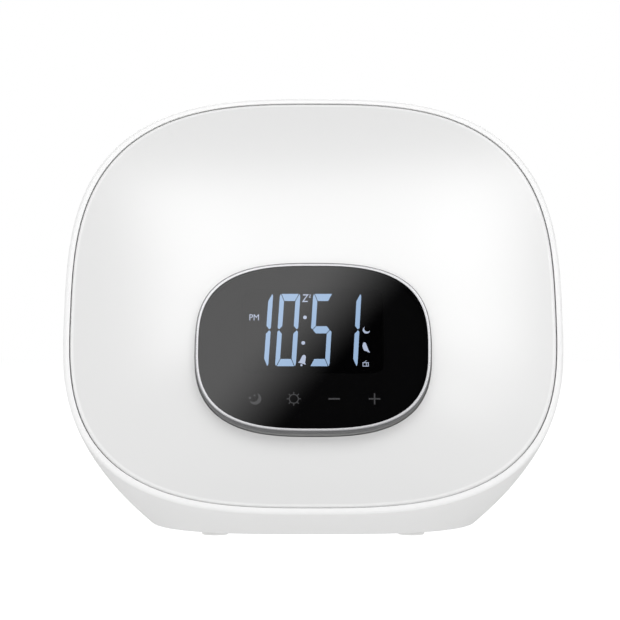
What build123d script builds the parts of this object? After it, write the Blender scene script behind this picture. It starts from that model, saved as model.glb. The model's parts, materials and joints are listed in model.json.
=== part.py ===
from build123d import *
from math import cos, pi, radians, sin, sqrt, tan
import os

os.makedirs("parts", exist_ok=True)

# Sunrise alarm clock: a leaning bowl-shaped rear housing, a domed light diffuser with a
# display window in it, and everything that sits between the two.
# All lengths are in millimetres. -Y is the side with the display, +X is to the right of
# someone who looks at it, +Z is up, and the rubber feet stand on Z = 0.

# ----------------------------------------------------------------------------------------
# Driving dimensions
# ----------------------------------------------------------------------------------------

# Outline of the body. Each section is a superellipse about its widest line.
OVAL_POINTS = 36            # points that the spline of an outline passes through
RIM_HALF_WIDTH = 100.0      # rim: half of its width
RIM_HALF_UP = 94.4          # rim: from the widest line to the top, along the face
RIM_HALF_DOWN = 81.9        # rim: from the widest line to the bottom, along the face
RIM_POWER = 2.95            # rim: exponent of the superellipse
REAR_POWER = 3.45           # rear panel: exponent of the superellipse
RIM_Z = 90.2                # height of the rim's widest line
RIM_Y = -22.7               # depth of the rim's widest line
FACE_TILT = 18.0            # the face leans back by this angle
BODY_DEPTH = 74.0           # from the rim's widest line to the rear panel
REAR_DROP = 28.4            # the widest line comes down by this much on its way to the rear
SIDE_TAPER = 0.242          # the rear is narrower than the rim by this share
TOP_TAPER = 0.17            # and lower by this share
BOTTOM_GROWTH = 0.025       # and deeper below its widest line by this share
TAPER_POWER = 1.6           # how late the side taper sets in
TOP_TAPER_POWER = 2.0       # how late the top taper sets in
REAR_ROUND = 14.0           # rounding between the sides and the rear panel
WALL = 2.6                  # wall of the rear housing
BASE_WALL = 2.5             # floor of the rear housing
FOOT_STAND = 1.2            # the feet lift the floor's underside by this much
RIM_EDGE = 1.1              # rounding of the housing's front edge
BASE_EDGE = 0.8             # rounding of the housing's lower edge
FLOOR_RIB_X = (30.0, 62.0)   # stiffening ribs on the floor, to both sides of the middle
FLOOR_RIB_THICK = 1.2
FLOOR_RIB_HEIGHT = 4.0
POST_RIB_THICK = 1.4         # ribs that brace the reflector's posts against the wall
POST_RIB_STEP = 16.0         # they end this far behind the post's face
OVERCUT = 1.0               # cutting tools reach past the face they start from by this much

# Diffuser: a skirt inside the rim, a rounded edge and a flat dome
DIFFUSER_HALF_WIDTH = 97.3
DIFFUSER_HALF_UP = 91.75
DIFFUSER_HALF_DOWN = 79.2
DIFFUSER_WALL = 2.2
EDGE_DEPTH = 1.8            # rounding of its front edge, along the face's normal
EDGE_WIDTH = 1.4            # and across it
DIFFUSER_PROUD = 0.4        # the edge of the dome stands in front of the rim by this much
DOME_HEIGHT = 13.0
DOME_POWER = 2.1
SKIRT_DEPTH = 5.0
RIM_GAP = 0.25              # shadow gap between diffuser and rim
CLIP_WIDTH = 9.0            # snap clips on the skirt
CLIP_REACH = 1.0            # how far a clip's catch comes in under the flange
CLIP_THICK = 1.6
CLIP_CATCH = 1.2            # thickness of the catch
CLIP_OFFSET = 42.0          # top and bottom clips stand this far from the middle

# Display window and its bezel
DISPLAY_DROP = 18.0         # centre of the window below the rim's widest line
WINDOW_HALF_WIDTH = 44.9
WINDOW_HALF_HEIGHT = 33.2
WINDOW_POWER = 2.84
WINDOW_THICK = 2.0
WINDOW_FRONT = 14.0         # the window's front in front of the rim's plane
BEZEL_WALL = 1.4
BEZEL_PROUD = 0.3           # the ring stands in front of the window by this much
BEZEL_LEDGE = 2.0           # width of the ledge that the window rests on
BEZEL_LEDGE_THICK = 1.6
BEZEL_EDGE = 0.7            # rounding of the ring
BEZEL_GAP = 0.3             # between the bezel and the hole in the diffuser
BEZEL_BOSS_RADIUS = 3.0
BEZEL_BOSS_X = 36.0
BEZEL_BOSS_Y = 20.5
WINDOW_GAP = 0.1            # between the window and the ring
FIT_GAP = 0.2               # pieces that are laid into one another have this clearance

# Liquid crystal display and what lies behind it
GLASS_WIDTH = 58.0
GLASS_HEIGHT = 38.0
GLASS_THICK = 2.4
GLASS_LIFT = 6.9            # centre of the glass above the centre of the window
GLASS_TO_WINDOW = 0.2
GUIDE_WIDTH = 55.0          # light guide behind the glass
GUIDE_HEIGHT = 31.0
GUIDE_THICK = 3.0
ZEBRA_LENGTH = 50.0         # elastomer strips that connect the glass with the board
ZEBRA_WIDTH = 1.6
ZEBRA_EDGE = 0.8            # from the edge of the glass to the strip
BOARD_THICK = 1.6           # every circuit board
DISPLAY_BOARD_DEPTH = 9.4   # from the window's front to the display board's front
PAD_RADIUS = 3.4            # touch pads behind the four touch signs
PAD_PITCH = 15.7
PAD_DROP = 21.7             # below the centre of the window
RIBBON_SOCKET_WIDTH = 16.0
RIBBON_SOCKET_HEIGHT = 5.0
RIBBON_SOCKET_THICK = 3.0
RIBBON_SOCKET_DROP = 8.0    # below the centre of the window

# Reflector: the white dish behind the diffuser, with a tower that carries the display
FLANGE_THICK = 2.0
DISH_WALL = 2.0
DISH_DEPTH = 17.0           # from the front of the flange to the dish's floor
DISH_RIM_MARGIN = 13.0      # width of the flange
DISH_SLOPE = 7.0            # the floor is narrower than the mouth by this, on each side
TOWER_PLATE = 2.0
TOWER_WALL = 2.0
FRAME_SCREW_INSET = 7.0     # from the flange's edge to the screws
FRAME_SCREW_ANGLE = 42.0    # directions of the screws about the middle of the face

# Light sources
LED_BOARD_HALF_WIDTH = 69.0
LED_BOARD_HALF_HEIGHT = 60.0
LED_BOARD_WIDTH = 12.0      # width of the arch-shaped board
LED_BOARD_SHIFT = -6.0      # its middle below the rim's widest line
LED_BOARD_END = -36.0       # the arch's ends
LED_COUNT = 17
LED_SPAN = 214.0            # the sources are spread over this angle
LED_SIZE = 3.5
LED_THICK = 1.0
LED_SCREW_ANGLES = (33.4, 100.3)    # to both sides of straight up
LED_POST_LENGTH = 3.0       # posts behind the dish for the board's screws
LED_SOCKET_ANGLE = 73.6     # to the right of straight up

# Screws: pan heads on plain shanks
SMALL_SHANK = 1.1           # radius
SMALL_HEAD = 2.2            # radius
SMALL_HEAD_THICK = 1.4
SMALL_LENGTH = 5.0          # under the head
SPEAKER_SCREW_LENGTH = 4.4
LARGE_SHANK = 1.4
LARGE_HEAD = 2.9
LARGE_HEAD_THICK = 1.8
LARGE_LENGTH = 10.0
SCREW_GAP = 0.2             # radial clearance where a screw passes through
POST_WALL = 2.1             # plastic round a screw's hole
HOLE_SPARE = 1.0            # a blind hole is deeper than its screw by this much

# Rear panel: speaker, keys, inlet and aerial
SPEAKER_Z = 88.0
SPEAKER_SIZE = 58.0         # square flange
SPEAKER_CORNER = 8.0
SPEAKER_HOLE_PITCH = 48.0
SPEAKER_FLANGE = 1.2
GASKET_THICK = 2.0
GASKET_WIDTH = 2.4
BASKET_MOUTH = 26.0         # radius of the opening in the flange
BASKET_SHOULDER = 20.0      # radius inside, in front of the spider's seat
BASKET_BACK = 15.5          # radius inside, behind it
BASKET_DEPTH = 14.0
BASKET_BORE = 9.0
BASKET_WINDOW_FRONT = 2.6   # behind the flange's front
BASKET_WINDOW_DEPTH = 6.0
BASKET_WALL = 1.2
BASKET_WINDOWS = 4
BASKET_WINDOW_WIDTH = 15.0
TOP_PLATE_THICK = 3.0
MAGNET_RADIUS = 17.0
MAGNET_THICK = 8.0
MAGNET_BORE = 9.0
TOP_PLATE_RADIUS = 16.0
YOKE_THICK = 3.0
COIL_RADIUS = 6.7           # middle of the voice coil
COIL_THICK = 0.5
COIL_GAP = 0.35             # between voice coil and pole, and voice coil and top plate
COIL_LENGTH = 9.6
CONE_TRAVEL = 0.8           # to each side
CONE_THICK = 0.6
CONE_RADIUS = 21.0
CONE_FRONT = 1.5            # the cone's front edge behind the flange's front
CONE_DEPTH = 7.0
CAP_RADIUS = 9.5
CAP_HEIGHT = 2.6
CAP_THICK = 0.5
ROLL_HEIGHT = 1.6           # the surround's half-roll
ROLL_THICK = 0.5
ROLL_GAP = 0.2              # between the surround and the pieces that it joins
SPIDER_THICK = 0.5
SPIDER_BEHIND = 10.2        # its seat behind the flange's front
TERMINAL_WIDTH = 8.0
TERMINAL_HEIGHT = 4.0
TERMINAL_THICK = 3.0
TERMINAL_X = 15.5
TERMINAL_DROP = 26.8        # below the speaker's middle
GRILLE_RADIUS = 25.0
GRILLE_SLOT = 2.2
GRILLE_PITCH = 4.4

MAIN_BOARD_WIDTH = 96.0
MAIN_BOARD_HEIGHT = 40.0
MAIN_BOARD_Z = 31.0
MAIN_BOARD_BEHIND = 12.4    # its rear face in front of the rear panel's outside
MAIN_BOARD_SCREW_X = 44.5
MAIN_BOARD_SCREW_Z = 15.0

KEY_Z = 44.0
KEY_PITCH = 20.0
KEY_COUNT = 4
KEY_WIDTH = 14.0
KEY_HEIGHT = 6.4
KEY_PROUD = 1.2
KEY_EDGE = 0.6
KEY_GAP = 0.3
KEY_FLANGE = 1.1            # how far the key's collar reaches behind the wall
KEY_FLANGE_THICK = 1.2
KEY_REST_GAP = 0.1          # between collar and wall
KEY_TRAVEL = 0.5
KEY_STEM = 1.6              # radius
SWITCH_SIZE = 6.0
SWITCH_THICK = 3.4
PLUNGER_RADIUS = 1.7
PLUNGER_PROUD = 1.0
PLUNGER_DEPTH = 1.2         # how far it sits in the switch
PLUNGER_GAP = 0.15

JACK_X = 0.0
JACK_Z = 21.0
JACK_SIZE = 9.0
JACK_BEHIND = 3.0           # front of the jack's body behind the rear panel's outside
JACK_NOSE_RADIUS = 4.4
JACK_NOSE_RECESS = 0.4
JACK_BORE_RADIUS = 2.8
JACK_BORE_DEPTH = 9.0
JACK_PIN_RADIUS = 1.0
JACK_PIN_RECESS = 1.4
JACK_HOLE_GAP = 0.2

GROMMET_X = -54.0
GROMMET_Z = 21.0
GROMMET_RADIUS = 4.0
GROMMET_NECK = 3.0
GROMMET_BORE = 1.0
GROMMET_FLANGE = 1.0

# Base: feet and button cell
FOOT_RADIUS = 5.5
FOOT_SINK = 0.8
FOOT_GAP = 0.1
FRONT_FOOT_X = 40.0
FRONT_FOOT_Y = -7.0
REAR_FOOT_X = 54.0
REAR_FOOT_Y = 33.0

CELL_Y = 12.0               # middle of the button cell's pocket
CELL_RADIUS = 10.0
CELL_THICK = 3.2
CELL_GAP = 0.3
COVER_RADIUS = 12.6
COVER_GAP = 0.3
COVER_SINK = 0.3            # the cover lies this far inside the floor's underside
LUG_REACH = 2.2
LUG_WIDTH = 6.0
LUG_THICK = 1.2
LUG_LIFT = 0.1              # running clearance over the floor
LUG_ENTRY = 60.0            # turn from locked to the entry notches
COVER_SLOT_LENGTH = 14.0
COVER_SLOT_WIDTH = 2.0
COVER_SLOT_DEPTH = 0.9
WELL_WALL = 1.6
WELL_ROOF = 1.5
CONTACT_THICK = 0.4
CONTACT_WIDTH = 4.0
CONTACT_X = 4.0             # the two contacts stand this far from the middle
CONTACT_TAIL = 1.6          # how far their tails stand out of the well
CELL_CAP_RADIUS = 8.6
CELL_CAP_THICK = 0.4
FOOT_CHAMFER = 0.4
CONTACT_SPACE = 1.4         # between the cell and the roof
TAIL_SLOT = 14.0            # opening of the well for the contacts' tails

# Parts on the main board's front
CHIP_THICK = 1.6
PROCESSOR_SIZE = 12.0
PROCESSOR_X = -14.0
AMPLIFIER_WIDTH = 8.0
AMPLIFIER_HEIGHT = 6.0
AMPLIFIER_X = 14.0
CHIP_Z = 31.0
CAPACITOR_RADIUS = 3.2
CAPACITOR_HEIGHT = 8.0
CAPACITOR_PITCH = 9.0
CAPACITOR_X = 32.0
CAPACITOR_Z = 24.0
CAPACITOR_COUNT = 2
SOCKET_WIDTH = 7.0
SOCKET_HEIGHT = 4.0
SOCKET_THICK = 5.0
SOCKET_PITCH = 14.0
SOCKET_Z = 46.0
SOCKET_COUNT = 4
LEAD_RADIUS = 0.9

# ----------------------------------------------------------------------------------------
# Planes, derived sizes and helpers
# ----------------------------------------------------------------------------------------

REAR_Y = RIM_Y + BODY_DEPTH
FACE = Plane(
    origin=(0, RIM_Y, RIM_Z),
    x_dir=(1, 0, 0),
    z_dir=(0, -cos(radians(FACE_TILT)), sin(radians(FACE_TILT))),
)
# Local X is +X and local Y is up; a positive offset goes from the rear panel into the body.
REAR = Plane(origin=(0, REAR_Y, 0), x_dir=(1, 0, 0), z_dir=(0, -1, 0))
# Local X is +Y and local Y is the radius; used to turn the speaker's pieces.
FLANGE_BEHIND = WALL + GASKET_THICK
SPEAKER_SIDE = Plane(
    origin=(0, REAR_Y - FLANGE_BEHIND, SPEAKER_Z), x_dir=(0, 1, 0), z_dir=(1, 0, 0)
)
SPEAKER_AXIS = Axis((0, REAR_Y, SPEAKER_Z), (0, 1, 0))
FLOOR_TOP = FOOT_STAND + BASE_WALL


def face_frame(height, shift=0.0):
    """Plane parallel to the rim, height in front of it, its origin shifted up the face."""
    here = FACE.offset(height)
    return Plane(
        origin=here.origin + here.y_dir * shift, x_dir=here.x_dir, z_dir=here.z_dir
    )


def oval(plane, half_width, half_up, half_down, power):
    """Superellipse about the plane's X axis, as a face."""
    points = []
    for step in range(OVAL_POINTS):
        angle = 2 * pi * step / OVAL_POINTS
        half_height = half_up if sin(angle) >= 0 else half_down
        width_term = abs(cos(angle) / half_width) ** power
        height_term = abs(sin(angle) / half_height) ** power
        radius = (width_term + height_term) ** (-1 / power)
        points.append((radius * cos(angle), radius * sin(angle)))
    with BuildSketch(plane) as outline:
        with BuildLine():
            Spline(*points, periodic=True)
        make_face()
    return outline.sketch.faces()[0]


def oval_point(half_width, half_up, half_down, power, angle):
    """Point of such an outline in the given direction, in degrees."""
    c, s = cos(radians(angle)), sin(radians(angle))
    half_height = half_up if s >= 0 else half_down
    width_term = abs(c / half_width) ** power
    height_term = abs(s / half_height) ** power
    radius = (width_term + height_term) ** (-1 / power)
    return (radius * c, radius * s)


def window_oval(height, grow=0.0):
    """Outline of the display window, grown all round, at a height in front of the rim."""
    return oval(
        face_frame(height, -DISPLAY_DROP),
        WINDOW_HALF_WIDTH + grow,
        WINDOW_HALF_HEIGHT + grow,
        WINDOW_HALF_HEIGHT + grow,
        WINDOW_POWER,
    )


def diffuser_oval(height, inset=0.0, scale=1.0):
    """Outline of the diffuser, moved in and scaled, at a height in front of the rim."""
    return oval(
        face_frame(height),
        (DIFFUSER_HALF_WIDTH - inset) * scale,
        (DIFFUSER_HALF_UP - inset) * scale,
        (DIFFUSER_HALF_DOWN - inset) * scale,
        RIM_POWER,
    )


def body_sections(inset):
    """Sections from the rim to the rear panel, moved in by a wall's thickness."""
    rounding = REAR_ROUND - inset
    end = BODY_DEPTH - inset
    straight = end - rounding
    stations = []
    for share in (0, 0.12, 0.3, 0.5, 0.75, 1):
        stations.append((straight * share, 0.0))
    for angle in (18, 36, 54, 72, 90):
        turn = radians(angle)
        stations.append((straight + rounding * sin(turn), rounding * (1 - cos(turn))))
    faces = []
    if inset > 0:
        faces.append(
            oval(
                face_frame(OVERCUT),
                RIM_HALF_WIDTH - inset,
                RIM_HALF_UP - inset,
                RIM_HALF_DOWN - inset,
                RIM_POWER,
            )
        )
    for depth, pull in stations:
        t = depth / BODY_DEPTH
        tilt = radians(FACE_TILT * (1 - depth / end))
        plane = Plane(
            origin=(0, RIM_Y + depth, RIM_Z - REAR_DROP * t),
            x_dir=(1, 0, 0),
            z_dir=(0, -cos(tilt), sin(tilt)),
        )
        faces.append(
            oval(
                plane,
                RIM_HALF_WIDTH * (1 - SIDE_TAPER * t**TAPER_POWER) - inset - pull,
                RIM_HALF_UP * (1 - TOP_TAPER * t**TOP_TAPER_POWER) - inset - pull,
                RIM_HALF_DOWN * (1 + BOTTOM_GROWTH * t) - inset - pull,
                RIM_POWER + (REAR_POWER - RIM_POWER) * t,
            )
        )
    return faces


def dome_sections(inset):
    """Sections of the diffuser's dome, from its edge to a small flat in the middle."""
    faces = []
    for share in (1.0, 0.96, 0.9, 0.82, 0.72, 0.6, 0.46, 0.32, 0.18, 0.06):
        height = DIFFUSER_PROUD + DOME_HEIGHT * (1 - share**DOME_POWER)
        faces.append(diffuser_oval(height - inset, EDGE_WIDTH + inset, share))
    return faces


def edge_sections():
    """Sections of the diffuser's rounded edge, from the skirt up to the dome."""
    faces = []
    for angle in (0, 18, 36, 54, 72, 90):
        rise = EDGE_DEPTH * sin(radians(angle))
        pull = EDGE_WIDTH * (1 - cos(radians(angle)))
        faces.append(diffuser_oval(DIFFUSER_PROUD - EDGE_DEPTH + rise, pull))
    return faces


def screws(plane, spots, shank, head, head_thick, length):
    """Screws whose heads stand on the plane and whose shanks run against its normal."""
    with BuildPart(mode=Mode.PRIVATE) as group:
        with BuildSketch(plane):
            with Locations(*spots):
                Circle(head)
        extrude(amount=head_thick)
        with BuildSketch(plane):
            with Locations(*spots):
                Circle(shank)
        extrude(amount=-length)
    return group.part


def tube(points, radii, radius):
    """Round lead along straight runs that tangent arcs join."""
    with BuildPart(mode=Mode.PRIVATE) as lead:
        with BuildLine() as route:
            FilletPolyline(*points, radius=radii)
        with BuildSketch(Plane(origin=route.line @ 0, z_dir=route.line % 0)):
            Circle(radius)
        sweep(path=route.line)
    return lead.part


def bend_radii(points):
    """As large an arc at each corner as its two runs allow."""
    radii = []
    for before, corner, after in zip(points, points[1:], points[2:]):
        first = Vector(*corner) - Vector(*before)
        second = Vector(*after) - Vector(*corner)
        run = min(first.length, second.length)
        radii.append(0.45 * run / tan(radians(first.get_angle(second) / 2)))
    return radii


FLANGE_FRONT = -SKIRT_DEPTH
FLANGE_BACK = FLANGE_FRONT - FLANGE_THICK
DISH_FLOOR = FLANGE_FRONT - DISH_DEPTH
SWITCH_FACE = MAIN_BOARD_BEHIND - SWITCH_THICK
PLUNGER_FACE = SWITCH_FACE - PLUNGER_PROUD
PARTS_FACE = MAIN_BOARD_BEHIND + BOARD_THICK
BOARD_FRONT = WINDOW_FRONT - DISPLAY_BOARD_DEPTH
TOWER_TOP = BOARD_FRONT - BOARD_THICK
WINDOW_BACK = WINDOW_FRONT - WINDOW_THICK
LEDGE_BACK = WINDOW_BACK - BEZEL_LEDGE_THICK
GLASS_FRONT = WINDOW_BACK - GLASS_TO_WINDOW
GLASS_BACK = GLASS_FRONT - GLASS_THICK
GUIDE_BACK = GLASS_BACK - GUIDE_THICK
ZEBRA_SHIFT = GLASS_HEIGHT / 2 - ZEBRA_EDGE - ZEBRA_WIDTH / 2
PLATE_BORE = COIL_RADIUS + COIL_THICK / 2 + COIL_GAP
POLE_RADIUS = COIL_RADIUS - COIL_THICK / 2 - COIL_GAP
FRAME_SCREWS = []
for direction in (FRAME_SCREW_ANGLE, 180 - FRAME_SCREW_ANGLE,
                  180 + FRAME_SCREW_ANGLE, -FRAME_SCREW_ANGLE):
    FRAME_SCREWS.append(
        oval_point(
            DIFFUSER_HALF_WIDTH - FRAME_SCREW_INSET,
            DIFFUSER_HALF_UP - FRAME_SCREW_INSET,
            DIFFUSER_HALF_DOWN - FRAME_SCREW_INSET,
            RIM_POWER,
            direction,
        )
    )
LARGE_POST = LARGE_SHANK + POST_WALL
SMALL_POST = SMALL_SHANK + POST_WALL
FOOT_SPOTS = [
    (-FRONT_FOOT_X, FRONT_FOOT_Y),
    (FRONT_FOOT_X, FRONT_FOOT_Y),
    (-REAR_FOOT_X, REAR_FOOT_Y),
    (REAR_FOOT_X, REAR_FOOT_Y),
]
CELL_BOTTOM = FLOOR_TOP + LUG_LIFT + LUG_THICK + CELL_GAP
CELL_TOP = CELL_BOTTOM + CELL_THICK
WELL_TOP = CELL_TOP + CONTACT_SPACE
LUG_RADIUS = COVER_RADIUS + LUG_REACH
WELL_RADIUS = LUG_RADIUS + CELL_GAP
# Clips stand at the top, at the bottom and at both sides, where the outline is flattest.
CLIP_BOXES = []
for side in (-1, 1):
    CLIP_BOXES.append((side * CLIP_OFFSET, DIFFUSER_HALF_UP, CLIP_WIDTH, DIFFUSER_HALF_UP))
    CLIP_BOXES.append((side * CLIP_OFFSET, -DIFFUSER_HALF_DOWN, CLIP_WIDTH, DIFFUSER_HALF_DOWN))
    CLIP_BOXES.append((side * DIFFUSER_HALF_WIDTH, 0, DIFFUSER_HALF_WIDTH, CLIP_WIDTH))

# ----------------------------------------------------------------------------------------
# Rear housing: lofted bowl, cut flat underneath, with everything that is moulded on it
# ----------------------------------------------------------------------------------------

with BuildPart() as bowl_outside:
    loft(sections=body_sections(0.0))
    rim_edge = bowl_outside.edges().sort_by(Axis.Y)[0]
    fillet(rim_edge, RIM_EDGE)
    split(bisect_by=Plane.XY.offset(FOOT_STAND), keep=Keep.TOP)
    fillet(bowl_outside.edges().group_by(Axis.Z)[0], BASE_EDGE)

with BuildPart() as bowl_inside:
    loft(sections=body_sections(WALL))
    split(bisect_by=Plane.XY.offset(FLOOR_TOP), keep=Keep.TOP)

# Posts for the four screws that hold the reflector, moulded along the face's normal
with BuildPart() as frame_posts:
    with BuildSketch(FACE.offset(FLANGE_BACK)):
        with Locations(*FRAME_SCREWS):
            Circle(LARGE_POST)
    extrude(amount=-BODY_DEPTH)
    add(bowl_outside.part, mode=Mode.INTERSECT)

# Ribs: walls along the floor, and one wall through each post towards the nearest side
with BuildPart() as stiffening_ribs:
    with BuildSketch(Plane.XY.offset(FLOOR_TOP - BASE_WALL / 2)):
        for rib_x in FLOOR_RIB_X:
            with GridLocations(2 * rib_x, 0, 2, 1):
                Rectangle(FLOOR_RIB_THICK, 2 * BODY_DEPTH)
    extrude(amount=BASE_WALL / 2 + FLOOR_RIB_HEIGHT)
    with BuildSketch(FACE.offset(FLANGE_BACK - POST_RIB_STEP)):
        for post_x, post_y in FRAME_SCREWS:
            away = 1 if post_x > 0 else -1
            with Locations((post_x + away * RIM_HALF_WIDTH / 2, post_y)):
                Rectangle(RIM_HALF_WIDTH, POST_RIB_THICK)
    extrude(amount=-BODY_DEPTH)
    add(bowl_outside.part, mode=Mode.INTERSECT)

# Everything else that stands up inside the housing
with BuildPart() as inner_posts:
    with BuildSketch(REAR.offset(WALL / 2)):
        with Locations((0, SPEAKER_Z)):
            with GridLocations(SPEAKER_HOLE_PITCH, SPEAKER_HOLE_PITCH, 2, 2):
                Circle(SMALL_POST)
    extrude(amount=GASKET_THICK + WALL / 2)
    with BuildSketch(REAR.offset(WALL / 2)):
        with Locations((0, MAIN_BOARD_Z)):
            with GridLocations(2 * MAIN_BOARD_SCREW_X, 2 * MAIN_BOARD_SCREW_Z, 2, 2):
                Circle(SMALL_POST)
    extrude(amount=MAIN_BOARD_BEHIND - WALL / 2)
    # Well of the button cell
    with BuildSketch(Plane.XY.offset(FLOOR_TOP - BASE_WALL / 2)):
        with Locations((0, CELL_Y)):
            Circle(WELL_RADIUS + WELL_WALL)
    extrude(amount=WELL_TOP + WELL_ROOF - FLOOR_TOP + BASE_WALL / 2)

with BuildPart() as housing_cuts:
    # Screw holes
    with BuildSketch(FACE.offset(FLANGE_BACK)):
        with Locations(*FRAME_SCREWS):
            Circle(LARGE_SHANK)
    extrude(amount=-(LARGE_LENGTH - FLANGE_THICK + HOLE_SPARE))
    with BuildSketch(REAR.offset(WALL + GASKET_THICK)):
        with Locations((0, SPEAKER_Z)):
            with GridLocations(SPEAKER_HOLE_PITCH, SPEAKER_HOLE_PITCH, 2, 2):
                Circle(SMALL_SHANK)
    extrude(amount=-(SPEAKER_SCREW_LENGTH - SPEAKER_FLANGE))
    with BuildSketch(REAR.offset(MAIN_BOARD_BEHIND)):
        with Locations((0, MAIN_BOARD_Z)):
            with GridLocations(2 * MAIN_BOARD_SCREW_X, 2 * MAIN_BOARD_SCREW_Z, 2, 2):
                Circle(SMALL_SHANK)
    extrude(amount=-(SMALL_LENGTH - BOARD_THICK + HOLE_SPARE))
    # Rear panel: a grille of slots that fills a circle, keys, inlet and grommet
    slot_rows = int(GRILLE_RADIUS / GRILLE_PITCH)
    with BuildSketch(REAR.offset(-OVERCUT)):
        for row in range(-slot_rows, slot_rows + 1):
            level = row * GRILLE_PITCH
            reach = sqrt(GRILLE_RADIUS**2 - level**2)
            with Locations((0, SPEAKER_Z + level)):
                SlotOverall(2 * reach, GRILLE_SLOT)
        with Locations((0, KEY_Z)):
            with GridLocations(KEY_PITCH, 0, KEY_COUNT, 1):
                SlotOverall(KEY_WIDTH + 2 * KEY_GAP, KEY_HEIGHT + 2 * KEY_GAP)
        with Locations((JACK_X, JACK_Z)):
            Circle(JACK_NOSE_RADIUS + JACK_HOLE_GAP)
        with Locations((GROMMET_X, GROMMET_Z)):
            Circle(GROMMET_NECK)
    extrude(amount=OVERCUT + WALL + OVERCUT)
    # Pockets for the feet
    with BuildSketch(Plane.XY.offset(FOOT_STAND)):
        with Locations(*FOOT_SPOTS):
            Circle(FOOT_RADIUS + FOOT_GAP)
    extrude(amount=FOOT_SINK)
    # Chamber for the cover's lugs, the cell's pocket above it, the slot for the contacts'
    # tails, and the bayonet opening in the floor
    with BuildSketch(Plane.XY.offset(FLOOR_TOP)):
        with Locations((0, CELL_Y)):
            Circle(WELL_RADIUS)
    extrude(amount=CELL_BOTTOM - FLOOR_TOP)
    with BuildSketch(Plane.XY.offset(FLOOR_TOP)):
        with Locations((0, CELL_Y)):
            Circle(CELL_RADIUS + CELL_GAP)
    extrude(amount=WELL_TOP - FLOOR_TOP)
    with BuildSketch(Plane.XY.offset(CELL_BOTTOM)):
        with Locations((0, CELL_Y + WELL_RADIUS)):
            Rectangle(TAIL_SLOT, 2 * (WELL_RADIUS + WELL_WALL - CELL_RADIUS))
    extrude(amount=WELL_TOP - CELL_BOTTOM)
    with BuildSketch(Plane.XY.offset(FOOT_STAND)):
        with Locations((0, CELL_Y)):
            Circle(COVER_RADIUS + COVER_GAP)
            Rectangle(
                2 * (LUG_RADIUS + COVER_GAP),
                LUG_WIDTH + 2 * COVER_GAP,
                rotation=-LUG_ENTRY,
            )
    extrude(amount=BASE_WALL)

with BuildPart() as rear_housing:
    add(bowl_outside.part)
    add(bowl_inside.part, mode=Mode.SUBTRACT)
    # Seat of the diffuser's skirt and of the reflector's flange inside the rim
    extrude(
        diffuser_oval(OVERCUT, -RIM_GAP),
        amount=-(OVERCUT + SKIRT_DEPTH + FLANGE_THICK + CLIP_CATCH + 2 * FIT_GAP),
        mode=Mode.SUBTRACT,
    )
    add(frame_posts.part)
    add(stiffening_ribs.part)
    add(inner_posts.part)
    add(housing_cuts.part, mode=Mode.SUBTRACT)
rear_housing.part.label = "rear_housing"
export_step(rear_housing.part, "parts/rear_housing.step")

# ----------------------------------------------------------------------------------------
# Front diffuser: opal shell with a skirt, a rounded edge, a dome and the display's hole
# ----------------------------------------------------------------------------------------

with BuildPart() as clip_spots:
    with BuildSketch(FACE.offset(FLANGE_FRONT)):
        for x, y, width, height in CLIP_BOXES:
            with Locations((x, y)):
                Rectangle(width, height)
    extrude(amount=-(FLANGE_THICK + FIT_GAP + CLIP_CATCH))

# Snap clips: the skirt goes on through notches of the flange and hooks behind it
with BuildPart() as skirt_clips:
    extrude(diffuser_oval(FLANGE_FRONT), amount=-(FLANGE_THICK + FIT_GAP + CLIP_CATCH))
    extrude(
        diffuser_oval(FLANGE_FRONT, CLIP_THICK),
        amount=-(FLANGE_THICK + FIT_GAP),
        mode=Mode.SUBTRACT,
    )
    extrude(
        diffuser_oval(FLANGE_BACK - FIT_GAP, CLIP_THICK + CLIP_REACH),
        amount=-CLIP_CATCH,
        mode=Mode.SUBTRACT,
    )
    add(clip_spots.part, mode=Mode.INTERSECT)

with BuildPart() as diffuser_inside:
    loft(sections=dome_sections(DIFFUSER_WALL))
    extrude(
        diffuser_oval(DIFFUSER_PROUD - DIFFUSER_WALL, DIFFUSER_WALL),
        amount=-(OVERCUT + SKIRT_DEPTH + DIFFUSER_PROUD),
    )
    extrude(
        window_oval(DIFFUSER_PROUD - DIFFUSER_WALL, BEZEL_WALL + BEZEL_GAP),
        amount=DOME_HEIGHT + DIFFUSER_WALL + OVERCUT,
    )

with BuildPart() as front_diffuser:
    extrude(diffuser_oval(-SKIRT_DEPTH), amount=SKIRT_DEPTH + DIFFUSER_PROUD - EDGE_DEPTH)
    loft(sections=edge_sections())
    loft(sections=dome_sections(0.0))
    add(diffuser_inside.part, mode=Mode.SUBTRACT)
    add(skirt_clips.part)
front_diffuser.part.label = "front_diffuser"
export_step(front_diffuser.part, "parts/front_diffuser.step")

# ----------------------------------------------------------------------------------------
# Display: bezel, window, glass, light guide, holder, elastomer strips, pads and board
# ----------------------------------------------------------------------------------------

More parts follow.
